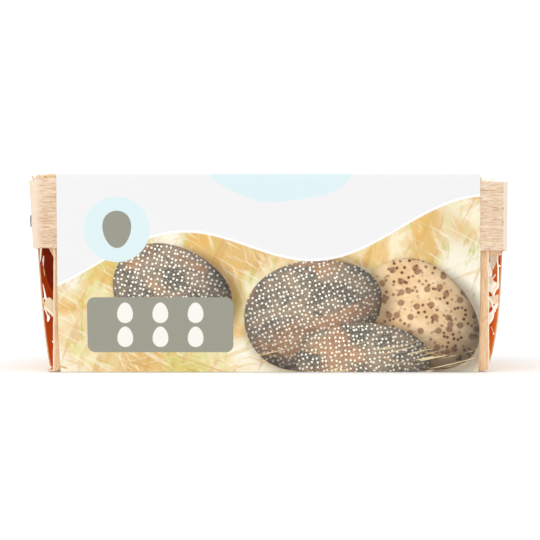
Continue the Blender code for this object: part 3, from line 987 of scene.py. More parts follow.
# Both wall strips: the axis across their grain, their edges along it, the width and rows of the
# finely divided edges, the rows between, the first fold, thickness and share of the ragged edge
WALL_STRIPS = {
    "end_strip": {
        "axis": "y",
        "edges": (-LONG_STRIP_WIDTH / 2, LONG_STRIP_WIDTH / 2),
        "fine": (0.004, 8),
        "rows": 80,
        "fold": 12,
        "veneer": END_VENEER,
        "ragged": 0.3,
    },
    "side_strip": {
        "axis": "x",
        "edges": CROSS_STRIP,
        "fine": (0.007, 14),
        "rows": 60,
        "fold": 1,
        "veneer": VENEER,
        "ragged": 1.0,
    },
}
FOLD_STEPS = 4
STRIP_STEP = 0.0014
BASE_STEP = 0.0040
STRIP_MARGIN = 0.0060
FRAYED_END = 0.004


def rows_across(low, high, fine, rows):
    """Places across a strip, close together near both edges."""
    reach, edge = fine
    places = [low + reach * row / edge for row in range(edge)]
    places += [mix(low + reach, high - reach, row / rows) for row in range(rows)]
    places += [high - reach + reach * row / edge for row in range(edge + 1)]
    return places


def bend_wall_strip(name, path, finishes, start, sizes):
    """Strip that runs down one wall, under the base and up the wall across from it."""
    strip = WALL_STRIPS[name]
    low, high = strip["edges"]
    fold = strip["fold"]

    def spacing(number, length):
        return steps_between(length, STRIP_STEP, BASE_STEP if number == fold else STRIP_STEP, STRIP_MARGIN)

    folds = (fold, fold + 1)
    places = places_along(path, folds, FOLD_RADIUS, spacing, FOLD_STEPS)
    spine = [point_at(path, folds, FOLD_RADIUS, place) for place in places]
    along = running_lengths(spine)
    widths = rows_across(low, high, strip["fine"], strip["rows"])
    columns = []
    for length, point in zip(along, spine):
        column = []
        for width in widths:
            share = (width - low) / (high - low)
            wander = strip["ragged"] * sizes.ragged
            wander *= noise.noise(Vector((length * 260, start, share * 3)))
            wander *= share**60 - (1 - share) ** 60
            moved = point.copy()
            setattr(moved, strip["axis"], width + wander)
            if name == "side_strip":
                settle_side_strip(moved, width, share)
            end = min(length, along[-1] - length)
            if end < FRAYED_END:
                frayed = noise.noise(Vector((width * 700, start, 1)))
                moved.z += 2 * sizes.ragged * frayed * (1 - end / FRAYED_END)
            column.append(moved)
        columns.append(column)
    return bend_strip(name, columns, along, widths, finishes, start, sizes, strip["veneer"])


def veneer_slots(colours):
    """Finishes of each strip of veneer: outer face, inner face and cut edges."""
    edge = cut_edge_finish("veneer_edge", colours.edge_pale, tint(226, 192, 150))
    end_edge = cut_edge_finish("end_wall_edge", tint(236, 202, 162), tint(210, 162, 116))
    inside = veneer_finish("liner_inside", colours.wall_pale, colours.wall_dark, 3.0)
    band = veneer_finish("band_wood", colours.band_pale, colours.band_dark, 0.0, 0.55)
    # Painted light: the liner is painted paler than the walls to lift it out of the band's shadow
    liner = veneer_finish("liner_wood", tint(255, 222, 184), tint(242, 196, 152), 2.0)
    end = veneer_finish("end_wall_wood", colours.wall_pale, colours.wall_dark, 4.0)
    walls = (colours.wall_pale, colours.wall_dark)
    side = veneer_finish("side_wall_wood", *walls, 6.0, 0.5, 0.60, CROSS_STRIP)
    return {
        "rim_band": [band, inside, edge],
        "rim_liner": [liner, inside, edge],
        "end_strip": [end, light_through_finish("end_wall_inside", colours), end_edge],
        "side_strip": [side, base_flap_finish("side_wall_inside", colours), edge],
    }


def bands_and_walls(sizes, colours):
    """Both rim bands and both wall strips."""
    slots = veneer_slots(colours)
    ride_as(bend_band("rim_band", slots["rim_band"], 1.0, sizes), "band_wood", "outer_band")
    ride_as(bend_band("rim_liner", slots["rim_liner"], 20.0, sizes), "wall_wood", "liner_band")

    steps = WALL_STRIPS["end_strip"]["fold"]
    bottom = sizes.board + GAP + LAYER
    ends = []
    for side in (-1, 1):
        heights = [mix(bottom, END_WALL_TOP[side], step / steps) for step in range(steps + 1)]
        ends.append([Vector((side * end_wall(side, z), 0.0, z)) for z in heights])
    path = ends[0][::-1] + ends[1]
    end_strip = bend_wall_strip("end_strip", path, slots["end_strip"], 40.0, sizes)
    ride_as(end_strip, "wall_wood", "long_wrap")

    bottom -= LAYER
    low, high = side_wall(bottom), side_wall(SIDE_WALL_TOP)
    turns = ((-high, SIDE_WALL_TOP), (-low, bottom), (low, bottom), (high, SIDE_WALL_TOP))
    path = [Vector((0.0, y, z)) for y, z in turns]
    side_strip = bend_wall_strip("side_strip", path, slots["side_strip"], 60.0, sizes)
    ride_as(side_strip, "wall_wood", "cross_wrap")


def select_parts(mesh, kind, chosen):
    """In edit mode, select only the faces or edges for which chosen is true."""
    bpy.ops.mesh.select_mode(type=kind)
    bpy.ops.mesh.select_all(action="DESELECT")
    shape = bmesh.from_edit_mesh(mesh)
    for part in shape.faces if kind == "FACE" else shape.edges:
        part.select_set(chosen(part))
    if kind == "EDGE":
        shape.select_flush_mode()
    bmesh.update_edit_mesh(mesh)


def runs_along(edge):
    """Whether an edge runs the length of the sleeve."""
    return abs(edge.verts[0].co.x - edge.verts[1].co.x) > SLEEVE_LENGTH / 2


def crosses_panel(edge):
    """Whether an edge crosses one of the sleeve's panels."""
    return (edge.verts[0].co - edge.verts[1].co).length > SLEEVE_HEIGHT / 2


def sleeve_end_shift(x, share):
    """How far the sleeve's cut ends stand off their straight lines, at a share of its height."""
    end = (2 * x / SLEEVE_LENGTH) ** 5
    if x < 0:
        return end * (LEFT_END_OUT - LEFT_FOOT_IN * (1 - share) ** 6)
    return end * (RIGHT_END_BOW * math.sin(math.pi * share**0.8) + RIGHT_END_OUT)


def board_sleeve(sizes, colours):
    """Flat-sided tube of printed board."""
    low = SLEEVE_BASE_DEPTH / 2
    high = RIM_DEPTH / 2 + GAP + sizes.board
    deselect()
    bpy.ops.mesh.primitive_cube_add(size=1.0, location=(CENTRE_SHIFT, 0.0, SLEEVE_HEIGHT / 2))
    sleeve = bpy.context.object
    sleeve.name = sleeve.data.name = "sleeve_board"
    sleeve.scale = (SLEEVE_LENGTH, 2 * high, SLEEVE_HEIGHT)
    bpy.ops.object.transform_apply(location=True, rotation=False, scale=True)
    mesh = sleeve.data

    bpy.ops.object.mode_set(mode="EDIT")
    select_parts(mesh, "FACE", lambda face: abs(face.normal.x) > 0.5)
    bpy.ops.mesh.delete(type="ONLY_FACE")
    select_parts(mesh, "FACE", lambda face: face.normal.z < -0.5)
    bpy.ops.transform.resize(value=(1.0, low / high, 1.0), center_override=(0.0, 0.0, 0.0))
    select_parts(mesh, "EDGE", runs_along)
    bpy.ops.mesh.bevel(offset=SLEEVE_FOLD_RADIUS, segments=4, affect="EDGES")
    select_parts(mesh, "EDGE", runs_along)
    bpy.ops.mesh.subdivide(number_cuts=SLEEVE_CUTS_ALONG)
    select_parts(mesh, "EDGE", crosses_panel)
    bpy.ops.mesh.subdivide(number_cuts=SLEEVE_CUTS_ROUND)
    bpy.ops.object.mode_set(mode="OBJECT")

    lean = math.hypot(SLEEVE_HEIGHT, high - low)
    along = np.empty(len(mesh.vertices))
    girth = np.empty(len(mesh.vertices))
    for vert in mesh.vertices:
        x, y, z = vert.co
        along[vert.index] = x - CENTRE_SHIFT
        on_panel = lean * z / SLEEVE_HEIGHT
        if z > SLEEVE_HEIGHT - 0.5 * SLEEVE_FOLD_RADIUS:
            girth[vert.index] = lean + high + y
        elif z < 0.5 * SLEEVE_FOLD_RADIUS:
            girth[vert.index] = -low - y if y < 0 else 2 * (lean + high) + low - y
        else:
            girth[vert.index] = on_panel if y < 0 else 2 * (lean + high) - on_panel
        vert.co.x += sleeve_end_shift(x, min(max(z / SLEEVE_HEIGHT, 0.0), 1.0))
        bow = noise.noise(Vector((x * 16, girth[vert.index] * 14, 2.0)))
        if SLEEVE_STIFF < z < SLEEVE_HEIGHT - SLEEVE_STIFF:
            vert.co.y += math.copysign(SLEEVE_BOW * bow, y)
    grain_coordinates(mesh, "print", along, girth)
    mesh.materials.append(print_finish("printed_board", colours, lean, 2 * high).material)
    mesh.materials.append(raw_board_finish("raw_board", colours.board_white).material)
    thicken(sleeve, sizes.board, 1, 1, 50)
    ride_as(sleeve, "sleeve_board", "sleeve")


class Heap:
    """Swept ribbons and threads gathered into one mesh."""

    def __init__(self):
        self.points = []
        self.faces = []
        self.tones = []
        self.along = []
        self.across = []
        self.count = 0

    def add(self, points, tone, along, across):
        """Add the points of one piece, with its tone and its own stretch of the grain."""
        self.points.append(points)
        self.tones.append(np.full(len(points), tone))
        self.along.append(along + self.count * GRAIN_STEP[0])
        self.across.append(across + self.count * GRAIN_STEP[1])
        self.count += len(points)

    def sweep(self, line, facing, width, thickness, tone, sides=4):
        """Sweep a flat section along a line, its flat side turned to facing."""
        line = np.asarray(line, dtype=float)
        ways = np.gradient(line, axis=0)
        ways /= np.linalg.norm(ways, axis=1)[:, None]
        across = np.cross(ways, facing)
        across /= np.maximum(np.linalg.norm(across, axis=1), 1e-6)[:, None]
        up = np.cross(across, ways)
        shares = np.linspace(0, 1, len(line))
        narrow = mix(TIP_WIDTH, 1.0, np.clip(np.minimum(shares, 1 - shares) * TIP_RISE, 0, 1))
        section = SECTIONS[sides]
        ring = [
            line + across * (a * width / 2 * narrow)[:, None] + up * (b * thickness / 2)
            for a, b in section
        ]
        rings = np.stack(ring, axis=1)
        steps = np.linalg.norm(np.diff(line, axis=0), axis=1)
        lengths = np.concatenate(([0.0], np.cumsum(steps)))
        for step in range(len(line) - 1):
            near = self.count + step * sides
            far = near + sides
            for side in range(sides):
                nearby = (side + 1) % sides
                self.faces.append((near + side, near + nearby, far + nearby, far + side))
        last = self.count + (len(line) - 1) * sides
        self.faces.append(tuple(self.count + side for side in reversed(range(sides))))
        self.faces.append(tuple(last + side for side in range(sides)))
        places = np.tile([a * width / 2 for a, _ in section], len(line))
        self.add(rings.reshape(-1, 3), tone, np.repeat(lengths, sides), places)

    def flake(self, outline, depth, face, tilt, grain, thickness, tone):
        """Lay a flat broken piece with the given outline across the line of sight from the front.

        face is 1 for a piece at the front and -1 for one in the same place at the back.
        """
        flat = np.array(outline).reshape(-1, 2) / 1000
        lean = (flat - flat.mean(axis=0)) @ np.array(tilt)
        count = len(flat)
        layers = [
            np.column_stack((flat[:, 0], face * (depth / 1000 + lean + offset), flat[:, 1]))
            for offset in (0.0, thickness)
        ]
        front = list(range(self.count, self.count + count))
        self.faces.append(tuple(front))
        self.faces.append(tuple(number + count for number in reversed(front)))
        for number, nearby in zip(front, front[1:] + front[:1]):
            self.faces.append((nearby, number, number + count, nearby + count))
        turn = math.radians(grain)
        way = np.array((math.cos(turn), math.sin(turn)))
        side = np.array((-way[1], way[0]))
        self.add(np.concatenate(layers), tone, np.tile(flat @ way, 2), np.tile(flat @ side, 2))

    def build(self, name, finish):
        """Make the heap's mesh and put it in the scene."""
        mesh = bpy.data.meshes.new(name)
        mesh.from_pydata(np.concatenate(self.points).tolist(), [], self.faces)
        grain_coordinates(mesh, "grain", np.concatenate(self.along), np.concatenate(self.across))
        tone = mesh.attributes.new("tone", "FLOAT", "POINT")
        tone.data.foreach_set("value", np.concatenate(self.tones).astype(np.float32))
        mesh.materials.append(finish.material)
        heap = bpy.data.objects.new(name, mesh)
        bpy.context.scene.collection.objects.link(heap)
        deselect()
        bpy.context.view_layer.objects.active = heap
        heap.select_set(True)
        bpy.ops.object.mode_set(mode="EDIT")
        bpy.ops.mesh.select_all(action="SELECT")
        bpy.ops.mesh.normals_make_consistent(inside=False)
        bpy.ops.object.mode_set(mode="OBJECT")
        bpy.ops.object.shade_smooth_by_angle(angle=math.radians(40))
        return heap


def wandering(rng, steps, waves, reach):
    """Line that wanders about the origin: waves of several lengths and directions added up."""
    shares = np.linspace(0, 1, steps)
    line = np.zeros((steps, 3))
    for wave in range(waves):
        turns = rng.uniform(0.25, 0.8) * (wave + 1)
        for axis in range(3):
            swing = reach[axis] * rng.normal() / (wave + 1) ** 0.8
            line[:, axis] += swing * np.sin(2 * np.pi * (turns * shares + rng.uniform()))
    return line


def squeeze(values, low, high):
    """Press values softly into a range."""
    middle, half = (low + high) / 2, (high - low) / 2
    return middle + half * np.tanh((values - middle) / half)


def turning_face(rng, steps):
    """Direction that a ribbon's flat side faces, turning slowly along it."""
    start, end = rng.normal(size=(2, 3))
    turns = np.linspace(0, 1, steps)[:, None] * RIBBON_TWIST
    return start * np.cos(turns) + end * np.sin(turns)


def at_end(side, depth, y, z):
    """Points at depths inside an end wall's outer face."""
    walls = np.array([end_wall(side, height) for height in z])
    return np.column_stack((side * (walls - depth) + CENTRE_SHIFT, y, z))


# Loose wood wool in the open tops of the ends: how far it wanders, then for its depth inside the
# end wall, its place along the wall and its height the range it is strewn in and pressed into
END_WANDER = (0.0040, 0.0110, 0.0060)
END_ROOM = {-1: 0.0038, 1: 0.0048}
END_DEPTH = (0.0105, 0.0135)
END_STREWN = ((-0.046, 0.046), (0.0585, 0.0690))
END_PRESSED = ((-0.0505, 0.0505), (0.0560, 0.0715))

# Loose wood wool beside the open upright corners, in the same way: its height and distance from
# the middle plane, then at the front (-1) and back (1) its distances along and across the punnet
CORNER_WANDER = (0.0025, 0.0040, 0.014)
CORNER_HEIGHT = ((0.006, 0.046), (0.0035, 0.0500))
CORNER_STREWN_Y = (0.0445, 0.0485)
CORNER_X = {-1: ((0.0770, 0.0835), (0.0740, 0.0842)), 1: ((0.0800, 0.0855), (0.0770, 0.0862))}
CORNER_Y = {-1: (0.0400, 0.0488), 1: (0.0400, 0.0492)}


def fill_end(heap, rng, side, count, steps, width, thickness, sides=4):
    """Loose ribbons in the open top of an end, between the end wall and the sleeve."""
    room = END_ROOM[side]
    for _ in range(count):
        line = wandering(rng, steps, 6, END_WANDER)
        depth = squeeze(line[:, 0] + rng.uniform(room, END_DEPTH[0]), room, END_DEPTH[1])
        y = squeeze(line[:, 1] + rng.uniform(*END_STREWN[0]), *END_PRESSED[0])
        z = squeeze(line[:, 2] + rng.uniform(*END_STREWN[1]), *END_PRESSED[1])
        points = at_end(side, depth, y, z)
        facing = turning_face(rng, steps)
        heap.sweep(points, facing, rng.uniform(*width), thickness, rng.uniform(), sides)


def fill_corner(heap, rng, side, end, count, steps, thickness):
    """Loose ribbons beside an open upright corner, clear of the line of sight through it at the front."""
    strewn_x, pressed_x = CORNER_X[end]
    for _ in range(count):
        line = wandering(rng, steps, 4, CORNER_WANDER)
        z = squeeze(line[:, 2] + rng.uniform(*CORNER_HEIGHT[0]), *CORNER_HEIGHT[1])
        x = squeeze(line[:, 0] + rng.uniform(*strewn_x), *pressed_x)
        y = end * squeeze(line[:, 1] + rng.uniform(*CORNER_STREWN_Y), *CORNER_Y[end])
        points = np.column_stack((side * x + CENTRE_SHIFT, y, z))
        facing = turning_face(rng, steps)
        heap.sweep(points, facing, rng.uniform(*CORNER_RIBBON_WIDTH), thickness, rng.uniform())


# Ribbons that show at the front, flat and broken off: how far forward each lies, its tone, which is
# its own colour with painted shade on the pieces in shade, the way of its grain in degrees, and its
# outline as pairs of places along the punnet and up, in millimetres
SHOWN_FLAKES = (
    # Left end, from the top down
    (-49.4, 1, 90, (-91.2, 49.4, -90.3, 49.4, -90.5, 47.9, -90.6, 46.1, -90.8, 44.7, -91, 43.7,
        -91.1, 44.7, -91.1, 46.3)),
    (-48, 0.9, 90, (-89.7, 46.6, -89.6, 45.3, -89.7, 43.9, -89.8, 42.1, -90, 42.2, -90.2, 43.7, -90.3, 45,
        -90.1, 45.9)),
    (-46.8, 0, 80, (-90.1, 42, -90, 42, -89.6, 40.3, -89.4, 38.4, -89.6, 38.3, -89.9, 40.1)),
    (-48.6, 0.8, 75, (-90.2, 35.3, -89.9, 34.9, -89.5, 33.5, -89.1, 32, -88.7, 30.3, -88.4, 28.9,
        -89.3, 28.9, -89.5, 30.5, -89.7, 32.3, -90, 33.8)),
    (-48.9, 0.95, 60, (-89.3, 30, -88.8, 29.7, -89.6, 29.1, -89.8, 28.3, -89.8, 27.4, -90.3, 26.7,
        -90.3, 27.6, -90.1, 28.8)),
    (-48.2, 0.1, 139, (-90.4, 26.9, -89.3, 28.2, -88.8, 29.4, -88.2, 29.5, -87.5, 29.8, -87, 29.5,
        -86.4, 28.9, -85.4, 28.5, -85.4, 22, -86.2, 22.6, -88, 24.4, -89.4, 25.6, -90.2, 26.1)),
    (-48.5, 1, 139, (-89.8, 26.5, -89.4, 26.2, -87.8, 24.8, -86, 23.2, -85.4, 22.6, -85.4, 21.9,
        -86.2, 22.6, -88, 24.3, -89.5, 25.7)),
    (-47.4, 0, 139, (-90.2, 26, -89.5, 25.6, -88.1, 24.4, -85.5, 21.9, -85.5, 21.3, -86.4, 21.9,
        -87.9, 23.4, -89.2, 24.8)),
    (-48.6, 0.85, 60, (-90.1, 26.1, -89.3, 25.3, -88.6, 24.3, -88.1, 22.9, -88.4, 22.5, -88.7, 23.3,
        -89.2, 24.5, -89.7, 25)),
    (-48.8, 1, 80, (-88.4, 23.3, -88, 22.9, -87.5, 22.5, -87.2, 21.8, -87.3, 21, -87.7, 20.2, -88.1, 20,
        -88.3, 20.5, -88.3, 21.7)),
    (-51.9, 1, 90, (-86, 12.4, -85.4, 12.5, -85.4, 11.9, -85.7, 11.7)),
    # Right end, from the top down
    (-47, 0.5, 70, (88.4, 47.1, 92, 47.1, 91.8, 45.1, 91.7, 43.9, 91.2, 43.1, 90.9, 42.3, 90.4, 41,
        89.9, 40.9, 89.3, 42.9, 89, 43.9, 89, 45, 88.4, 45.4)),
    (-47.5, 0.3, 117, (88.8, 46.9, 89.5, 46.9, 90.9, 43.7, 90.5, 42.7, 90.2, 42.9, 89.5, 44.6)),
    (-48, 1, 100, (88.2, 43.8, 88.8, 43.9, 89.4, 41.7, 89.8, 40.3, 89.8, 38.1, 89.4, 37.9, 88.7, 38.1,
        88.2, 38.6)),
    (-49, 1, 90, (91.6, 47, 92.2, 47, 92.1, 43.9, 92.2, 43, 93.2, 42.3, 93, 41.9, 92.3, 42, 92.4, 40.7,
        92.3, 38.3, 92.2, 35.3, 91.6, 35.4, 91.7, 38.7, 91.8, 41.5, 91.6, 43.9, 91.6, 45.5)),
    (-48.8, 0.75, 60, (91.2, 39.3, 91.1, 38.6, 90.3, 37.4, 89.9, 36.9, 89.6, 37.1, 90.3, 38.3)),
    (-48.3, 0.38, 75, (88.2, 38.1, 89.5, 38.5, 90, 37.1, 90.6, 36.2, 91.4, 35.8, 92.8, 35.5, 93, 35,
        92.2, 34.6, 91.9, 33.5, 91.4, 32.7, 90.4, 30.2, 89.8, 30.5, 89.6, 31.3, 89, 31.8, 88.2, 32.2)),
    (-48.7, 1, 65, (88.2, 34.9, 88.8, 35, 89.6, 34.5, 89.4, 33.4, 89.2, 32, 88.7, 32.1, 88.2, 32.5)),
    (-48.9, 0.95, 60, (90, 35.9, 91.2, 35.5, 91.4, 35, 90.6, 34.4, 89.9, 32.9, 89.6, 31.3, 89.2, 31.7,
        89.4, 33.3, 89.8, 34.6)),
    (-49.2, 1, 60, (91.8, 35.1, 92.4, 35, 92.3, 34.1, 92.1, 33.4, 91.4, 32.7, 90.9, 31.9, 90.7, 31,
        90.2, 30.1, 89.7, 30.2, 90.3, 31.7, 90.9, 32.9, 91.6, 33.7)),
    (-48, 0.25, 80, (88.8, 30.1, 90.4, 30.2, 91.3, 30.7, 92, 30.9, 92.7, 31.3, 92.6, 29.9, 92.4, 28.5,
        92.2, 27.3, 91.3, 26.9, 90.2, 27.2, 89.5, 28.5, 89.1, 29.5)),
    (-49, 1, 60, (88.1, 30.5, 88.8, 29.9, 90.2, 27.4, 90, 26.8, 89.5, 27.1, 88.1, 29.5)),
    (-47.3, 0.1, 95, (88.3, 29.2, 89.1, 28.3, 89.6, 26.9, 89.6, 26, 89, 25.6, 88.3, 25.4)),
    (-48.6, 1, 62, (89.4, 27.2, 90.2, 26.8, 90.3, 26.3, 90.7, 26.3, 90.8, 26.9, 91.6, 27.4, 92.2, 27.6,
        92.1, 26.8, 91.8, 25.7, 91.1, 24.8, 91.1, 24.1, 90.6, 23.7, 90.5, 22.8, 90.2, 21.4, 89.7, 20.3,
        89.1, 19.5, 88.6, 18.8, 88.2, 18.5, 88.2, 23.3, 89.1, 23.8, 89.8, 24.8, 90, 25.4, 89.6, 26)),
    (-47.6, 0, 115, (89.2, 18.1, 89.5, 18.1, 90.6, 15.6, 90.3, 15.4)),
    (-48.6, 1, 90, (90.1, 15.5, 90.6, 15.5, 90.6, 15, 90.4, 14.7, 90.1, 15)),
)

# Pale wisps that stand out over the rim and under the liner at the front, in the same way
RIM_WISPS = (
    (-55.2, 1, 5, (83.8, 78, 84.7, 77.5, 85.7, 77.1, 87.5, 76.9, 88.5, 77.1, 89.5, 77.6, 90.9, 78,
        91.8, 77.9, 91.8, 77.7, 90.7, 77.6, 89.9, 77.2, 89.4, 76.6, 89.2, 75.2, 83.8, 75.2)),
    (-54.6, 0.95, 5, (85.8, 76.9, 87.8, 76.4, 89.7, 77, 91.1, 77.1, 90.1, 76.7, 88.9, 75.4, 86.6, 75.4)),
    (-55.8, 0.15, 90, (83.7, 77.7, 84.4, 77.6, 84.7, 76.9, 84.6, 75.2, 83.7, 75.2)),
    (-51.6, 0.9, 10, (91, 47.5, 92.1, 47.8, 92.7, 47.5, 93.4, 46.8, 92.3, 46.9, 91.3, 46.9)),
)

# Torn fibres and wisps that stand on the rim, in the same way
RIM_FLAKES = (
    (-57.2, 0, 60, (-93.4, 77.8, -93.1, 78, -92.4, 76.7, -92.4, 75.7, -92.8, 76.1)),
    (-56.4, 0.85, 20, (-92, 75.9, -91.8, 77.7, -91.4, 78.4, -90.6, 78.6, -90.2, 78.4, -89.6, 78.1,
        -89.5, 77.6, -89.7, 75.9)),
    (-56.6, 0.85, 60, (-89.4, 78.6, -88.8, 78.7, -88.6, 78.3, -89.1, 77.4, -89.5, 75.9, -89.8, 75.9,
        -89.7, 77.4)),
    (-56.2, 0, 0, (-89.2, 75.9, -89.1, 77.2, -88.5, 78.3, -86.9, 77.1, -86.9, 75.9)),
    (-56.3, 0.62, 3, (-88.4, 78.1, -87.7, 78.4, -86.8, 78.6, -86.1, 78.8, -85.7, 79, -85.3, 78.7,
        -84.5, 78.5, -83.9, 78.7, -82.5, 78.8, -82.5, 75.9, -86.5, 75.9, -86.9, 77.1)),
)

# Packed wood wool: the heights of its underside and of its top in the middle and at the ends, its
# room inside the walls, its lumps, and the sight line through the open corners that it keeps clear
WOOL_LOW = 0.0032
WOOL_TOP = (0.0715, 0.0575)
WOOL_SIDE_ROOM = 0.0022
WOOL_END_ROOM = 0.0030
WOOL_LUMP = 0.0014
SIGHT_REACH = 0.0845
SIGHT_SLOPE = 0.114
SIGHT_DEPTH = 0.0530


def shape_wool_core(core):
    """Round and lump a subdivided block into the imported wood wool, clear of the corners' openings."""
    for vert in core.data.vertices:
        u, v, w = (2 * c for c in vert.co)
        z = mix(WOOL_LOW, mix(*WOOL_TOP, abs(u) ** 8), (w + 1) / 2)
        y = v * (side_wall(z) - WOOL_SIDE_ROOM)
        side = -1 if u < 0 else 1
        sight = SIGHT_REACH + SIGHT_SLOPE * (SIGHT_DEPTH - abs(y))
        reach = min(end_wall(side, z) - WOOL_END_ROOM, sight)
        lump = WOOL_LUMP * (0.5 + noise.noise(Vector((u * 9, v * 7, w * 5))))
        x = u * (reach - lump)
        vert.co = (x + CENTRE_SHIFT, y - math.copysign(lump, y) * abs(v) ** 4, z - lump * (w > 0.98))


def wood_wool(sizes, colours):
    """Packed core, loose ribbons and threads at the openings, and the ribbons that show at the front."""
    deselect()
    bpy.ops.mesh.primitive_cube_add(size=1.0)
    core = bpy.context.object
    core.name = core.data.name = "wool_core"
    bpy.ops.object.mode_set(mode="EDIT")
    bpy.ops.mesh.select_all(action="SELECT")
    bpy.ops.mesh.subdivide(number_cuts=WOOL_CUTS)
    bpy.ops.object.mode_set(mode="OBJECT")
    shape_wool_core(core)
    bpy.ops.object.shade_smooth()
    core.data.materials.append(packed_wool_finish("packed_wool").material)
    ride_as(core, "wood_wool", "nest")

    rng = np.random.default_rng(WOOL_SEED)
    ribbon = wood_wool_finish("wood_wool_ribbon", colours.wool_pale, colours.wool_warm, 0.05)
    # Painted glow: stronger emission brightens the ribbons that show at the front and the wisps on the rim
    at_light = wood_wool_finish("wood_wool_at_the_light", tint(251, 248, 240), tint(224, 204, 164), 0.25)
    torn = wood_wool_finish("torn_fibre", tint(248, 226, 190), tint(228, 172, 116), 0.05)
    ribbons = Heap()
    threads = Heap()
    for side in (-1, 1):
        fill_end(ribbons, rng, side, sizes.end_ribbons, 46, END_RIBBON_WIDTH, sizes.ribbon)
        fill_end(threads, rng, side, sizes.end_threads, 60, THREAD_WIDTH, THREAD_THICKNESS, sides=3)
        for end in (-1, 1):
            fill_corner(ribbons, rng, side, end, sizes.corner_ribbons, 40, sizes.ribbon)
    ride_as(ribbons.build("wool_ribbons", ribbon), "wood_wool")
    ride_as(threads.build("wool_threads", ribbon), "wood_wool")

    tables = (
        ("wool_shown", SHOWN_FLAKES, (1, -1), at_light),
        ("rim_wisps", RIM_WISPS, (1,), at_light),
        ("rim_splinters", RIM_FLAKES, (1,), torn),
    )
    for name, table, faces, finish in tables:
        shown = Heap()
        for face in faces:
            for depth, tone, grain, outline in table:
                tilt = rng.uniform(-FLAKE_TILT, FLAKE_TILT, 2)
                shown.flake(outline, depth, face, tilt, grain, sizes.ribbon, tone)
        ride_as(shown.build(name, finish), "wood_wool")


def dress_staples():
    """Give the staples' solids their wire."""
    wire = wire_finish("staple_wire")
    for name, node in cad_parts.items():
        if name.startswith("staple"):
            for slot in node.material_slots:
                slot.material = wire.material


def soft_light(name, place, target, size, power):
    """Square soft light aimed at a point."""
    deselect()
    bpy.ops.object.light_add(type="AREA", location=place)
    lamp = bpy.context.object
    lamp.name = name
    lamp.data.shape = "SQUARE"
    lamp.data.size = size
    lamp.data.energy = power
    lamp.rotation_euler = (Vector(target) - Vector(place)).to_track_quat("-Z", "Y").to_euler()


def pale_floor():
    """Plain pale floor."""
    deselect()
    bpy.ops.mesh.primitive_circle_add(
        vertices=96, radius=FLOOR_RADIUS, fill_type="NGON", location=(0, 0, FLOOR_HEIGHT)
    )
    floor = bpy.context.object
    floor.name = "studio_floor"
    paint = Finish(
        "floor_paint",
        Specular_IOR_Level=0.1,
        Roughness=0.9,
        Emission_Color=(1, 1, 1),
        Emission_Strength=0.14,
    )
    cloud = paint.noise(paint.place(), (3, 3, 3), 2.0)
    paint.paint(paint.blend(cloud, (0.93, 0.93, 0.93), (0.95, 0.95, 0.95)))
    floor.data.materials.append(paint.material)


def white_surround(scene):
    """White all round: brighter where it is seen than where it lights."""
    world = bpy.data.worlds.new("studio_world")
    scene.world = world
    world.use_nodes = True
    tree = world.node_tree
    sky = tree.nodes["Background"]
    sky.inputs["Color"].default_value = (1, 1, 1, 1)
    sight = tree.nodes.new("ShaderNodeLightPath")
    strength = tree.nodes.new("ShaderNodeMapRange")
    strength.inputs["To Min"].default_value = SKY_LIGHT
    strength.inputs["To Max"].default_value = SKY_SEEN
    tree.links.new(sight.outputs["Is Camera Ray"], strength.inputs["Value"])
    tree.links.new(strength.outputs[0], sky.inputs["Strength"])


def studio():
    """Plain pale floor, soft light all round and the camera level with the middle of the front."""
    scene = bpy.context.scene
    scene.view_settings.view_transform = "Standard"
    pale_floor()
    white_surround(scene)

    deselect()
    bpy.ops.object.light_add(type="SUN", location=(-0.3, -0.4, 1.2))
    sun = bpy.context.object
    sun.name = "overhead_light"
    sun.data.energy = SUN_POWER
    sun.data.angle = math.radians(SUN_SPREAD)
    sun.rotation_euler = Vector(SUN_WAY).to_track_quat("-Z", "Y").to_euler()
    soft_light("key_light", (-0.9, -1.3, 0.7), (0.0, 0.0, 0.04), 0.9, 2.0)

    deselect()
    bpy.ops.object.camera_add(location=CAMERA_PLACE, rotation=(math.pi / 2, 0.0, 0.0))
    camera = bpy.context.object
    camera.name = "studio_camera"
    camera.data.sensor_width = 36.0
    camera.data.lens = CAMERA_LENS
    camera.data.clip_start = 0.02
    camera.data.clip_end = 50.0
    scene.camera = camera


class PUNNET_OT_bands_and_walls(bpy.types.Operator):
    """Bend the rim bands and the wall strips from veneer"""

    bl_idname = "punnet.bands_and_walls"
    bl_label = "Bands and walls"

    def execute(self, context):
        bands_and_walls(context.scene.punnet_sizes, context.scene.punnet_colours)
        return {"FINISHED"}


class PUNNET_OT_sleeve(bpy.types.Operator):
    """Fold and print the paperboard sleeve"""

    bl_idname = "punnet.sleeve"
    bl_label = "Sleeve"

    def execute(self, context):
        board_sleeve(context.scene.punnet_sizes, context.scene.punnet_colours)
        return {"FINISHED"}


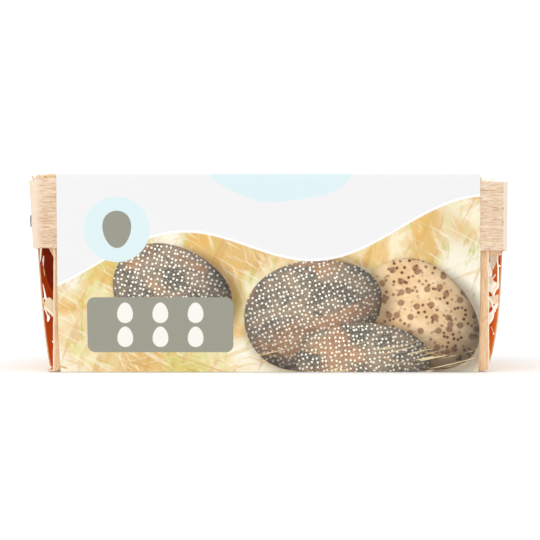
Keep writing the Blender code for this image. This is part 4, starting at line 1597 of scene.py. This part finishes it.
class PUNNET_OT_wood_wool(bpy.types.Operator):
    """Pack the punnet with wood wool and lay the loose ribbons"""

    bl_idname = "punnet.wood_wool"
    bl_label = "Wood wool"

    def execute(self, context):
        wood_wool(context.scene.punnet_sizes, context.scene.punnet_colours)
        return {"FINISHED"}


class PUNNET_OT_staples(bpy.types.Operator):
    """Give the wire staples their finish"""

    bl_idname = "punnet.staples"
    bl_label = "Staples"

    def execute(self, context):
        dress_staples()
        return {"FINISHED"}


class PUNNET_OT_studio(bpy.types.Operator):
    """Set the floor, the lights and the camera"""

    bl_idname = "punnet.studio"
    bl_label = "Studio"

    def execute(self, context):
        studio()
        return {"FINISHED"}


STEPS = (
    PUNNET_OT_bands_and_walls,
    PUNNET_OT_sleeve,
    PUNNET_OT_wood_wool,
    PUNNET_OT_staples,
    PUNNET_OT_studio,
)


class PUNNET_PT_steps(bpy.types.Panel):
    """Sidebar panel with the punnet's steps, sizes and colours"""

    bl_label = "Punnet"
    bl_idname = "PUNNET_PT_steps"
    bl_space_type = "VIEW_3D"
    bl_region_type = "UI"
    bl_category = "Punnet"

    def draw(self, context):
        for step in STEPS:
            self.layout.operator(step.bl_idname)
        for settings in (context.scene.punnet_sizes, context.scene.punnet_colours):
            box = self.layout.box()
            for name in settings.__annotations__:
                box.prop(settings, name)


CLASSES = (PunnetSizes, PunnetColours, *STEPS, PUNNET_PT_steps)


def register():
    """Make the settings, the steps and the panel known to Blender."""
    for kind in CLASSES:
        bpy.utils.register_class(kind)
    bpy.types.Scene.punnet_sizes = bpy.props.PointerProperty(type=PunnetSizes)
    bpy.types.Scene.punnet_colours = bpy.props.PointerProperty(type=PunnetColours)


def unregister():
    """Take them out again."""
    del bpy.types.Scene.punnet_colours
    del bpy.types.Scene.punnet_sizes
    for kind in reversed(CLASSES):
        bpy.utils.unregister_class(kind)


def main():
    """Run the steps in order."""
    register()
    bpy.ops.punnet.bands_and_walls()
    bpy.ops.punnet.sleeve()
    bpy.ops.punnet.wood_wool()
    bpy.ops.punnet.staples()
    bpy.ops.punnet.studio()


if __name__ == "__main__":
    main()
